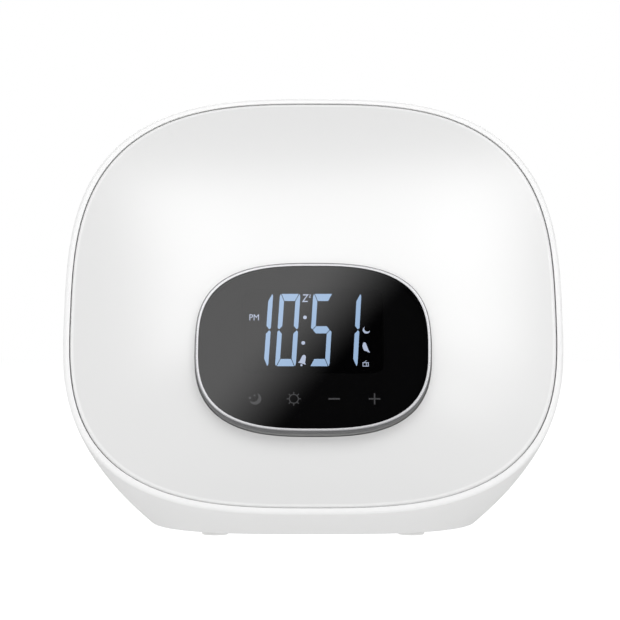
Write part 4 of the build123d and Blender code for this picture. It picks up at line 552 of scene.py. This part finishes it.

# %% [markdown]
# ## The diffuser's lip, with a painted highlight
# The dome ends in a narrow rounded lip beside the gap. A painted highlight makes this edge
# read as a pale line all round. The dome's outline is a rounded rectangle of the
# superellipse kind, and the same formula, in the face's own directions, tells how near a
# point is to the edge.

# %% Lighter near the outline
# The lip's paler tone is a painted highlight.
LIP_ASIDE, LIP_UP, LIP_DOWN, LIP_POWER = 97.3, 91.75, 79.2, 2.95
LIP_WIDE, LIP_PAINTED_HIGHLIGHT = 1.6, (0.98, 0.98, 0.98, 1)
tree, shader, pattern = opened("diffuser_opal")
rise = along_face(tree, FACE_UP)
sink = maths(tree, "MULTIPLY", rise, -1.0)
across = maths(tree, "ABSOLUTE", parts_of(tree, own_place(tree))["X"])
aside = maths(tree, "DIVIDE", across, LIP_ASIDE * MM)
total = maths(tree, "POWER", aside, LIP_POWER)
for height, reach in ((rise, LIP_UP), (sink, LIP_DOWN)):
    share = maths(tree, "DIVIDE", maths(tree, "MAXIMUM", height, 0.0), reach)
    total = maths(tree, "ADD", total, maths(tree, "POWER", share, LIP_POWER))
share = maths(tree, "POWER", total, 1 / LIP_POWER)
lip = ramp(tree, share, 1 - LIP_WIDE / LIP_DOWN, 1 - 0.5 * LIP_WIDE / LIP_DOWN, smooth=True)
link(tree, tint(tree, lip, pattern["Colour"], LIP_PAINTED_HIGHLIGHT), shader.inputs["Base Color"])
print("lip", LIP_WIDE, "mm wide")

# %% [markdown]
# ## Window and display glass
# The window is a smoked acrylic lens: black when the display is dark, clear enough for the
# lit segments behind it. Smoked plastic can be made with a tinted transmissive shader, but
# its bent light shows the ring's inner wall all round. A glossy black that lets a small
# share through gives the same calm black face. Only the side that faces out holds light
# back, so the share doesn't depend on how many walls a ray crosses.

# %% Smoked window and display glass
SMOKE = 0.85
window = plastic("window_black", (0.001, 0.001, 0.0012), 0.015, mottle=0.1, grain=0.8,
                 spread=0.006, bump=0.0)
tree = window.node_tree
behind = tree.nodes.new("ShaderNodeNewGeometry").outputs["Backfacing"]
held_back = maths(tree, "MULTIPLY_ADD", behind, -SMOKE, SMOKE)
link(tree, held_back, tree.nodes["Principled BSDF"].inputs["Alpha"])
finishes["window_black"] = window
finishes["lcd_glass"] = plastic("lcd_glass", (0.004, 0.004, 0.005), 0.6, bump=0.0,
                                Specular_IOR_Level=0.1)
print("the window holds back", SMOKE, "of the light")

# %% [markdown]
# ## Dress the solids
# Each solid already carries its material slot by name, so one loop gives every one its
# finish. Nothing is left with a flat colour.

# %% Assign finishes by slot
slots = {entry["node"]: entry["material_slot"] for entry in frame["record"]["subparts"]}
for name, solid in nodes.items():
    for holder in solid.material_slots:
        holder.material = finishes[slots[name]]
print(len(slots), "solids dressed with", len(set(slots.values())), "finishes")

# %% [markdown]
# ## Lit print
# The segments and signs glow with the light guide's light, which is never quite even. A
# group lets the colour wander between two tones. The smoked window takes most of the light,
# so the print is brighter by what the window holds back.

# %% Group: the light behind the print
CLOUD_SCALE, DARK_LOW, DARK_HIGH = 90.0, (0.02, 0.02, 0.03, 1), (0.03, 0.03, 0.04, 1)


def make_backlight():
    tones = [("Low", "c", (0.3, 0.3, 0.3, 1)), ("High", "c", (0.4, 0.4, 0.4, 1))]
    tree, start, end = new_group("backlight", tones, [("Glow", "c"), ("Print", "c")])
    cloud = noise(tree, CLOUD_SCALE, 2.0, own_place(tree))
    link(tree, tint(tree, cloud, start.outputs["Low"], start.outputs["High"]), end.inputs["Glow"])
    link(tree, tint(tree, cloud, DARK_LOW, DARK_HIGH), end.inputs["Print"])
    return tree


backlight = make_backlight()
print("group", backlight.name, "with", len(backlight.nodes), "nodes")

# %% The glowing finish
PRINT_ROUGH, THROUGH = 0.5, 1.0 - SMOKE


def glowing_finish(name, low, high):
    """Lit print, which is seen but isn't sampled as a lamp."""
    material, tree, shader = new_material(name)
    material.cycles.emission_sampling = "NONE"
    given = place_group(tree, backlight, {"Low": low, "High": high})
    link(tree, given["Glow"], shader.inputs["Emission Color"])
    link(tree, given["Print"], shader.inputs["Base Color"])
    shader.inputs["Emission Strength"].default_value = 1.0 / THROUGH
    shader.inputs["Roughness"].default_value = PRINT_ROUGH
    return material


glow = glowing_finish("segment_glow", (0.29, 0.43, 0.64), (0.33, 0.47, 0.67))
sign_glow = glowing_finish("sign_glow", (0.41, 0.47, 0.62), (0.46, 0.52, 0.66))
touch_glow = glowing_finish("touch_glow", (0.042, 0.042, 0.043), (0.049, 0.049, 0.050))
print("segments glow in pale blue, signs nearly white, touch signs dimly")

# %% [markdown]
# ## Thin plates
# Digits and signs could be a texture on the glass. As thin solids their edges stay sharp at
# any distance. Each is drawn flat, in millimetres, as a face between its corners, and an
# extrusion gives it a thickness. `put` then moves it to its place.

# %% Plates
LCD_THICK, FILM_THICK, INK_THICK = 0.05, 0.02, 0.03


def thicken(bm, faces, thick):
    """Extrudes flat faces to a thin solid, and returns the corners of its top."""
    grown = bmesh.ops.extrude_face_region(bm, geom=faces)
    top = [v for v in grown["geom"] if isinstance(v, bmesh.types.BMVert)]
    bmesh.ops.translate(bm, verts=top, vec=(0, 0, thick))
    return top


def plate(bm, corners, thick, inset=0.0, soften=0.0):
    """A thin plate: one face, drawn in by a gap, its corners softened, then extruded."""
    others = set(bm.faces)
    face = bm.faces.new([bm.verts.new((x, y, 0)) for x, y in corners])
    face.normal_update()
    if face.normal.z < 0:
        face.normal_flip()
    if inset > 0:
        ring = bmesh.ops.inset_individual(bm, faces=[face], thickness=inset, use_even_offset=True)
        bmesh.ops.delete(bm, geom=ring["faces"], context="FACES")
    if soften > 0:
        bmesh.ops.bevel(bm, geom=list(face.verts), offset=soften, affect="VERTICES",
                        segments=2, profile=0.5, material=-1)
        face = [f for f in bm.faces if f not in others][0]
    thicken(bm, [face], thick)


print("plates", LCD_THICK, "mm thick on the glass,", INK_THICK, "as ink")


# %% From flat work to a piece
def put(bm, matrix):
    """Moves flat work, drawn in mm, to its place in the clock's frame."""
    bmesh.ops.transform(bm, matrix=matrix @ Matrix.Scale(MM, 4), verts=bm.verts)


def mesh_from(name, bm, material):
    mesh = bpy.data.meshes.new(name)
    bm.to_mesh(mesh)
    bm.free()
    mesh.materials.append(material)
    return mesh


def new_piece(name, bm, material, body="clock_body"):
    """Turns a bmesh into an object that rides on a body."""
    thing = add(name, mesh_from(name, bm, material))
    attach(thing, body)
    return thing


print("helpers: put, mesh_from and new_piece")

# %% [markdown]
# ## Segments of the display
# The digits are seven-segment shapes, slanted, with mitred ends and thin dark gaps between
# them. `LIT` names the lit segments of each digit: a at the top, then clockwise to f, and g
# in the middle. Three shapes are drawn, for f, a and g, and the others mirror them.

# %% One segment, one digit
LIT = {"0": "abcdef", "1": "bc", "5": "acdfg"}
CELL_WIDE, CELL_HIGH, CELL_BOTTOM, SLANT = 8.35, 30.05, -7.6, 0.0595
BAR_WIDE, BAR_HIGH, TIP_IN, TIP_BACK = 2.05, 3.2, 0.74, 0.75
CORNER, CORNER_IN, CORNER_DOWN, SHOULDER = 0.6, 0.21, 0.35, 1.3
SEGMENT_GAP, SEGMENT_SOFT = 0.26, 0.16


def segment_outline(key):
    """The corners of one segment, measured from the lower left corner of its cell."""
    wide, high, middle, half = CELL_WIDE, CELL_HIGH, CELL_HIGH / 2, BAR_HIGH / 2
    under = high - BAR_HIGH
    top = [(CORNER, high), (wide - CORNER, high), (wide - BAR_WIDE, under), (BAR_WIDE, under)]
    upper = [(CORNER, high), (CORNER_IN, high - CORNER_DOWN), (0, high - SHOULDER),
             (0, middle + TIP_BACK), (TIP_IN, middle), (BAR_WIDE, middle + half), (BAR_WIDE, under)]
    across = [(TIP_IN, middle), (BAR_WIDE, middle + half), (wide - BAR_WIDE, middle + half),
              (wide - TIP_IN, middle), (wide - BAR_WIDE, middle - half), (BAR_WIDE, middle - half)]
    shapes = {"a": top, "f": upper, "g": across,
              "b": [(wide - x, y) for x, y in upper], "c": [(wide - x, high - y) for x, y in upper],
              "e": [(x, high - y) for x, y in upper], "d": [(x, high - y) for x, y in top]}
    return shapes[key]


def digit(bm, figure, left):
    """A seven-segment digit in the cell that starts at left."""
    for key in LIT[figure]:
        corners = [(left + x + y * SLANT, CELL_BOTTOM + y) for x, y in segment_outline(key)]
        plate(bm, corners, LCD_THICK, SEGMENT_GAP / 2, SEGMENT_SOFT)


print("a 0 has", len(LIT["0"]), "lit segments")

# %% [markdown]
# Four digits stand in a row on the front of the glass and lean a few degrees to the right,
# as on most liquid crystal clocks. The cells are equally wide, so a 1 leaves its left part
# empty.

# %% The time
CELLS = (("1", -25.8), ("0", -15.05), ("5", -1.9), ("1", 9.05))
ON_GLASS = GLASS_FRONT + 0.03
bm = bmesh.new()
for figure, left in CELLS:
    digit(bm, figure, left)
put(bm, face_matrix(WINDOW_UP, ON_GLASS))
time_digits = new_piece("time_digits", bm, glow)
print("digits:", len(time_digits.data.polygons), "faces")

# %% [markdown]
# ## Signs of the display and the touch keys
# Round dots and bars are plates as well. Words are set in Blender's own typeface and turned
# into a mesh before they are placed, so that their objects stay at the origin. A crescent is
# a round arc out and a smaller arc back.

# %% Dots and bars
DISC_SIDES = 28


def turned(points, angle):
    """Points of a flat outline, turned about its origin."""
    c, s = math.cos(angle), math.sin(angle)
    return [(x * c - y * s, x * s + y * c) for x, y in points]


def disc(bm, x, y, radius, thick=LCD_THICK, sides=DISC_SIDES):
    made = bmesh.ops.create_circle(bm, cap_ends=True, segments=sides, radius=radius)
    face = made["verts"][0].link_faces[0]
    if face.normal.z < 0:
        face.normal_flip()
    top = thicken(bm, [face], thick)
    bmesh.ops.translate(bm, verts=made["verts"] + top, vec=(x, y, 0))


def bar(bm, x, y, length, width, turn=0.0, thick=LCD_THICK):
    u, v = length / 2, width / 2
    corners = turned([(-u, -v), (u, -v), (u, v), (-u, v)], turn)
    plate(bm, [(x + a, y + b) for a, b in corners], thick)


print("a disc has", DISC_SIDES, "sides")

# %% Words
CAPITAL, WORD_SLANT = 0.72, 0.1


def word(bm, text, x, y, height, slant=0.0, narrow=0.8, bold=0.008):
    """A word whose middle is at (x, y), as a mesh, with capitals of that height."""
    curve = bpy.data.curves.new("word", "FONT")
    curve.body = text
    curve.size = height / CAPITAL
    curve.extrude = LCD_THICK / 2
    curve.offset = height * bold
    curve.align_x = "CENTER"
    holder = add("word", curve)
    bpy.context.view_layer.update()
    flat = bpy.data.meshes.new_from_object(holder.evaluated_get(bpy.context.evaluated_depsgraph_get()))
    before = len(bm.verts)
    bm.from_mesh(flat)
    bm.verts.ensure_lookup_table()
    for v in bm.verts[before:]:
        across = v.co.x * narrow + v.co.y * slant
        v.co = Vector((x + across, v.co.y + y - height / 2, v.co.z + LCD_THICK / 2))
    bpy.data.objects.remove(holder)
    bpy.data.curves.remove(curve)
    bpy.data.meshes.remove(flat)


print("words are set", round(1 / CAPITAL, 2), "times as large as their capitals")

# %% Crescents
MOON_HALF, MOON_INNER, MOON_STEPS = math.radians(118), 0.86, 16


def crescent(bm, x, y, radius, turn, thick=LCD_THICK):
    """A moon: an arc out, and a smaller arc back round the middle between its tips."""
    steps = [step / MOON_STEPS for step in range(MOON_STEPS + 1)]
    outer = [MOON_HALF * (2 * share - 1) for share in steps]
    points = [(radius * math.cos(a), radius * math.sin(a)) for a in outer]
    middle, inner = points[-1][0], radius * MOON_INNER
    back = [math.pi * (0.5 - share) for share in steps[1:-1]]
    points += [(middle + inner * math.cos(a), inner * math.sin(a)) for a in back]
    plate(bm, [(x + a, y + b) for a, b in turned(points, turn)], thick)


print("a crescent has", 2 * MOON_STEPS, "corners")

# %% [markdown]
# The signs stand in a column on each side of the digits: the sleep sign and a bell on the
# left, a moon, a bird and a small radio on the right. The bell and the bird are short
# outlines whose corners a small bevel softens.

# %% Signs beside the digits
SIGNS_UP = 0.45
BELL = [(-0.2, 2.3), (0.2, 2.3), (0.75, 1.7), (0.95, 0.4), (1.1, -0.7), (1.6, -1.4), (-1.6, -1.4),
        (-1.1, -0.7), (-0.95, 0.4), (-0.75, 1.7)]
BIRD = [(-0.7, 2.0), (-0.1, 2.3), (0.45, 1.7), (0.95, 0.3), (1.5, -1.2), (2.2, -2.3), (1.3, -2.0),
        (0.5, -1.6), (-0.3, -1.4), (-0.9, -0.4), (-1.1, 0.9)]
bm = bmesh.new()
disc(bm, -3.24, 12.1, 0.74)
disc(bm, -3.91, 1.6, 0.74)
word(bm, "Z", -3.28, 20.2, 3.3, WORD_SLANT)
word(bm, "z", -1.35, 21.3, 1.9, WORD_SLANT)
word(bm, "PM", -23.25, 12.2, 2.6, narrow=0.9, bold=0.0)
crescent(bm, 20.9, 6.9, 1.45, math.radians(-125))
plate(bm, [(x - 4.05, y - 5.5) for x, y in turned(BELL, math.radians(-16))], LCD_THICK, soften=0.15)
disc(bm, -4.6, -7.5, 0.42)
plate(bm, [(x * 0.92 + 20.3, y * 0.95 - 0.25) for x, y in BIRD], LCD_THICK, soften=0.12)
print("signs so far:", len(bm.faces), "faces")

# %% The radio, a box of thin bars
RADIO_X, RADIO_Y, RADIO_LINE = 20.5, -7.2, 0.26
for side in (1, -1):
    bar(bm, RADIO_X, RADIO_Y + 0.7 * side, 2.4, RADIO_LINE)
for side in (-1, 1):
    bar(bm, RADIO_X + 1.07 * side, RADIO_Y, 1.3, RADIO_LINE, math.pi / 2)
bar(bm, RADIO_X + 0.3, RADIO_Y, 1.2, 0.24, math.pi / 2)
bar(bm, RADIO_X - 0.1, RADIO_Y + 1.25, 1.2, 0.16, math.radians(35))
put(bm, face_matrix(WINDOW_UP + SIGNS_UP, ON_GLASS))
display_signs = new_piece("display_signs", bm, sign_glow)
print("display signs:", len(display_signs.data.polygons), "faces")

# %% [markdown]
# ## Black printing behind the window
# The back of a display lens is printed black, so that its frame, screws and boards never
# show. Only the viewing area is left clear. The print is a band between two rings of edges:
# the outer follows the window's rounded outline, and the inner one the viewing area.

# %% The printed mask
def squircle(angle, half_x, half_y, power):
    c, s = math.cos(angle), math.sin(angle)
    r = (abs(c / half_x) ** power + abs(s / half_y) ** power) ** (-1 / power)
    return r * c, r * s


def ring_at(bm, half_x, half_y, power, shift_y=0.0, count=128):
    """A ring of edges: a circle whose points are drawn out to a rounded outline."""
    made = bmesh.ops.create_circle(bm, cap_ends=False, segments=count, radius=1.0)["verts"]
    for v in made:
        x, y = squircle(math.atan2(v.co.y, v.co.x), half_x, half_y, power)
        v.co = Vector((x, y + shift_y, 0))
    return made, [e for e in bm.edges if e.verts[0] in made and e.verts[1] in made]


def band(bm, outer, inner, thick):
    """Bridges two rings of edges and thickens the band between them."""
    faces = bmesh.ops.bridge_loops(bm, edges=outer[1] + inner[1])["faces"]
    thicken(bm, faces, thick)


print_black = plastic("print_black", (0.005, 0.005, 0.0055), 0.7, mottle=0.05, bump=0.0,
                      Specular_IOR_Level=0.1)
bm = bmesh.new()
band(bm, ring_at(bm, 44.8, 33.1, 2.84), ring_at(bm, 27.6, 17.4, 14.0, 6.9), FILM_THICK)
bmesh.ops.recalc_face_normals(bm, faces=bm.faces)
put(bm, face_matrix(WINDOW_UP, WINDOW_BACK + 0.01))
window_print = new_piece("window_print", bm, print_black)
print("mask:", len(window_print.data.polygons), "faces")

# %% [markdown]
# The four touch signs are left open in the black and lit dimly from behind: moon, sun, minus
# and plus.

# %% Touch signs
TOUCH_ROW, MOON_X, SUN_X, MINUS_X, PLUS_X = -20.75, -22.5, -7.55, 8.15, 23.85
SUN_REACH, SUN_RAYS, SIGN_LONG = 2.35, 8, 4.5


def round_band(bm, x, y, outer, inner, thick, count):
    """A flat ring with round edges."""
    rings = [ring_at(bm, radius, radius, 2.0, y, count) for radius in (outer, inner)]
    bmesh.ops.translate(bm, verts=rings[0][0] + rings[1][0], vec=(x, 0, 0))
    band(bm, *rings, thick)


bm = bmesh.new()
crescent(bm, MOON_X, TOUCH_ROW, 2.35, math.radians(-45), FILM_THICK)
disc(bm, MOON_X - 2.1, TOUCH_ROW + 0.4, 0.5, FILM_THICK, 12)
disc(bm, MOON_X - 0.3, TOUCH_ROW + 1.4, 0.36, FILM_THICK, 12)
for step in range(SUN_RAYS):
    a = 2 * math.pi * step / SUN_RAYS
    spot = SUN_X + SUN_REACH * math.cos(a), TOUCH_ROW + SUN_REACH * math.sin(a)
    bar(bm, *spot, 0.8, 0.42, a, FILM_THICK)
round_band(bm, SUN_X, TOUCH_ROW, 1.95, 1.55, FILM_THICK, 48)
bar(bm, MINUS_X, TOUCH_ROW, SIGN_LONG, 0.6, 0.0, FILM_THICK)
bar(bm, PLUS_X, TOUCH_ROW, SIGN_LONG, 0.55, 0.0, FILM_THICK)
bar(bm, PLUS_X, TOUCH_ROW, 0.55, SIGN_LONG, 0.0, FILM_THICK)
bmesh.ops.recalc_face_normals(bm, faces=bm.faces)
put(bm, face_matrix(WINDOW_UP, WINDOW_BACK + 0.035))
touch_signs = new_piece("touch_signs", bm, touch_glow)
print("touch signs:", len(touch_signs.data.polygons), "faces")

# %% [markdown]
# ## Marks on the back keys
# The keys on the back carry the usual marks: minus and plus for the volume, and triangles
# for tuning the radio. They are pad-printed, so each is a film a few hundredths of a
# millimetre thick, and each is its own piece, because it moves with its key.

# %% Ink, and a place on the back
KEY_FACE_Y, KEY_Z, INK_SUNK = 52.5, 44.0, 0.01
BACKWARDS = Matrix(((-1, 0, 0), (0, 0, 1), (0, 1, 0))).to_4x4()
ink_grey = plastic("ink_grey", (0.30, 0.30, 0.31), 0.55, mottle=0.15, grain=0.25, bump=0.002)
print("key faces at", KEY_FACE_Y, "mm")


# %% Marks on the keys
def key_mark(key, x):
    bm = bmesh.new()
    if key.startswith("volume"):
        bar(bm, 0, 0, 3.4, 0.6, 0.0, INK_THICK)
        if key.endswith("up"):
            for side in (1.0, -1.0):
                bar(bm, 0, side, 1.4, 0.6, math.pi / 2, INK_THICK)
    else:
        tip = 1.3 if key.endswith("up") else -1.3
        plate(bm, [(-1.6, -tip), (1.6, -tip), (0, tip)], INK_THICK, soften=0.12)
    bmesh.ops.recalc_face_normals(bm, faces=bm.faces)
    put(bm, Matrix.Translation(Vector((x, KEY_FACE_Y - INK_SUNK, KEY_Z)) * MM) @ BACKWARDS)
    return new_piece("mark_" + key, bm, ink_grey, body="key_" + key)


KEY_X = {"volume_down": -30.0, "volume_up": -10.0, "tune_down": 10.0, "tune_up": 30.0}
key_marks = [key_mark(key, x) for key, x in KEY_X.items()]
print(len(key_marks), "keys marked")

# %% [markdown]
# ## Marks round the cell cover
# Underneath, a line on the cover points to a full dot when it is locked. A turn of sixty
# degrees brings the line to an open ring, where the cover lifts out.

# %% Line, dot and ring
BOTTOM_Z, COVER_Z, COVER_Y, DOTS_AWAY, COVER_TURN = 1.2, 1.5, 12.0, 16.4, math.radians(60)


def print_below(name, bm, z, body):
    """Ink on the underside, drawn as it is seen from below."""
    bmesh.ops.recalc_face_normals(bm, faces=bm.faces)
    flip = Matrix(((1, 0, 0), (0, -1, 0), (0, 0, -1))).to_4x4()
    put(bm, Matrix.Translation(Vector((0, COVER_Y, z + INK_SUNK)) * MM) @ flip)
    return new_piece(name, bm, ink_grey, body=body)


bm = bmesh.new()
bar(bm, 0, 10.2, 2.6, 0.7, math.pi / 2, INK_THICK)
cover_line = print_below("cover_line", bm, COVER_Z, "cell_cover")
bm = bmesh.new()
disc(bm, 0, DOTS_AWAY, 0.9, INK_THICK)
open_spot = turned([(0, DOTS_AWAY)], COVER_TURN)[0]
round_band(bm, *open_spot, 0.9, 0.6, INK_THICK, 32)
cover_marks = print_below("cover_marks", bm, BOTTOM_Z, "clock_body")
print("cover marks:", len(cover_line.data.polygons), "and", len(cover_marks.data.polygons), "faces")

# %% [markdown]
# ## Studio
# The clock stands on a plain white floor in a light tent. The tent is the world: it is plain
# white to the camera and in reflections, and as a light it is brighter from below than from
# above, because the table under the clock is lit from beneath. So the floor takes the shadow
# but doesn't hide that light from the clock. Seen from below the floor is clear, so that the
# feet and the cell cover can be looked at.

# %% Empty materials and flat sheets
def empty_material(name):
    """A material without a shader: its tree, and the socket that its surface comes from."""
    material, tree, _ = new_material(name)
    tree.nodes.clear()
    return material, tree, tree.nodes.new("ShaderNodeOutputMaterial").inputs["Surface"]


def sheet(name, half, share, material):
    """A flat sheet so many metres from its middle to its side, and a share of that high."""
    bm = bmesh.new()
    bmesh.ops.create_grid(bm, x_segments=1, y_segments=1, size=half)
    bmesh.ops.scale(bm, vec=(1, share, 1), verts=bm.verts)
    return add(name, mesh_from(name, bm, material))


print("helpers: empty_material and sheet")

# %% Floor
FLOOR_HALF, FLOOR_TONE, FLOOR_LIFT = 3.0, (0.9, 0.9, 0.9, 1), 0.62
floor_white, tree, surface = empty_material("floor_white")
matt = tree.nodes.new("ShaderNodeBsdfDiffuse")
matt.inputs["Color"].default_value = FLOOR_TONE
lift = tree.nodes.new("ShaderNodeEmission")
seen = tree.nodes.new("ShaderNodeLightPath").outputs["Is Camera Ray"]
link(tree, maths(tree, "MULTIPLY", seen, FLOOR_LIFT), lift.inputs["Strength"])
both = tree.nodes.new("ShaderNodeAddShader")
link(tree, matt.outputs[0], both.inputs[0])
link(tree, lift.outputs[0], both.inputs[1])
side = tree.nodes.new("ShaderNodeMixShader")
link(tree, tree.nodes.new("ShaderNodeNewGeometry").outputs["Backfacing"], side.inputs[0])
link(tree, both.outputs[0], side.inputs[1])
link(tree, tree.nodes.new("ShaderNodeBsdfTransparent").outputs[0], side.inputs[2])
link(tree, side.outputs[0], surface)
floor = sheet("floor", FLOOR_HALF, 1.0, floor_white)
floor.visible_diffuse = False
print("floor", 2 * FLOOR_HALF, "m wide")

# %% World
AMBIENT, FALL = 0.652, 0.40
world = bpy.data.worlds.new("studio")
bpy.context.scene.world = world
world.use_nodes = True
tree = world.node_tree
back = tree.nodes["Background"]
rays = tree.nodes.new("ShaderNodeLightPath").outputs
shown = maths(tree, "MAXIMUM", rays["Is Camera Ray"], rays["Is Transmission Ray"])
shown = maths(tree, "MAXIMUM", shown, rays["Is Glossy Ray"])
height = parts_of(tree, tree.nodes.new("ShaderNodeTexCoord").outputs["Generated"])["Z"]
tent = maths(tree, "MULTIPLY_ADD", height, -FALL, AMBIENT)
rest = maths(tree, "MULTIPLY", maths(tree, "SUBTRACT", 1.0, shown), tent)
link(tree, maths(tree, "ADD", rest, shown), back.inputs["Strength"])
back.inputs["Color"].default_value = (1, 1, 1, 1)
print("tent light from", AMBIENT + FALL, "below to", round(AMBIENT - FALL, 2), "above")

# %% [markdown]
# A big softbox above and in front gives the broad white band on the diffuser. Two narrow
# wings beside it round off the band, a small lamp draws it down on the right, and small
# fills reach the left side and the back. Each row gives a lamp's compass and height in
# degrees, its distance, width and height in metres, and how bright it is for its area.

# %% Lamps
FACE_MIDDLE = Vector((0, -0.03, 0.09))
LAMPS = {"key_softbox": (5.5, 46, 2.5, 2.94, 1.40, 1.98),
         "left_wing": (-22, 42, 2.3, 0.46, 0.97, 0.42),
         "right_wing": (32, 35, 2.3, 0.46, 1.40, 0.7),
         "right_low": (21.5, 19.5, 2.3, 0.42, 0.42, 1.9),
         "left_fill": (-85, 8, 0.8, 0.6, 0.3, 0.6),
         "back_fill": (180, 35, 1.5, 1.5, 0.8, 1.6)}
for name, (azimuth, elevation, distance, width, height, level) in LAMPS.items():
    a, e = math.radians(azimuth), math.radians(elevation)
    way = Vector((math.sin(a) * math.cos(e), -math.cos(a) * math.cos(e), math.sin(e)))
    light = bpy.data.lights.new(name, "AREA")
    light.shape = "RECTANGLE"
    light.size, light.size_y = width, height
    light.energy = level * math.pi * width * height
    lamp = add(name, light)
    lamp.location = FACE_MIDDLE + distance * way
    lamp.rotation_euler = (-way).to_track_quat("-Z", "Y").to_euler()
    lamp.visible_camera = False
print(len(LAMPS), "lamps aimed at the middle of the face")

# %% [markdown]
# The window would mirror the big softbox and turn grey all over. A dark card hangs where the
# window sees the softbox, so the window stays black. One corner of the card glows, and the
# window shows it as a soft diagonal sheen in its upper left. Only reflections see the card.

# %% The card's glow
SHEEN_X, SHEEN_Y, SHEEN_FROM, SHEEN_TO, SHEEN_LEVEL = 0.747, 0.665, -0.052, 0.080, 2.9
card_glow, tree, surface = empty_material("card_glow")
spot = parts_of(tree, own_place(tree))
across = maths(tree, "MULTIPLY", spot["X"], SHEEN_X)
along = maths(tree, "MULTIPLY_ADD", spot["Y"], SHEEN_Y, across)
glowing = tree.nodes.new("ShaderNodeEmission")
sheen = ramp(tree, along, SHEEN_FROM, SHEEN_TO, smooth=True)
link(tree, maths(tree, "MULTIPLY", sheen, SHEEN_LEVEL), glowing.inputs["Strength"])
link(tree, glowing.outputs[0], surface)
print("the card's corner glows", SHEEN_LEVEL, "times as bright as the tent looks")

# %% The card
CARD_AWAY, CARD_HALF, CARD_SHARE = 2.2, 0.20, 0.76
outward = Vector(FACE_OUT)
seen_from = camera.location - 2 * (camera.location - window_middle).dot(outward) * outward
mirrored = (window_middle - seen_from).normalized()
card_spot = window_middle + mirrored * CARD_AWAY
card_turn = (-mirrored).to_track_quat("Z", "Y").to_matrix().to_4x4()
card = sheet("sheen_card", CARD_HALF, CARD_SHARE, card_glow)
card.matrix_world = Matrix.Translation(card_spot) @ card_turn
card.visible_camera = False
card.visible_diffuse = False
card.visible_transmission = False
card.visible_shadow = False
print("card at", [round(v, 3) for v in card_spot])

# %% [markdown]
# Colours are shown as they are written, with no film curve over them.

# %% Plain colours
bpy.context.scene.view_settings.view_transform = "Standard"
print("view transform:", bpy.context.scene.view_settings.view_transform)
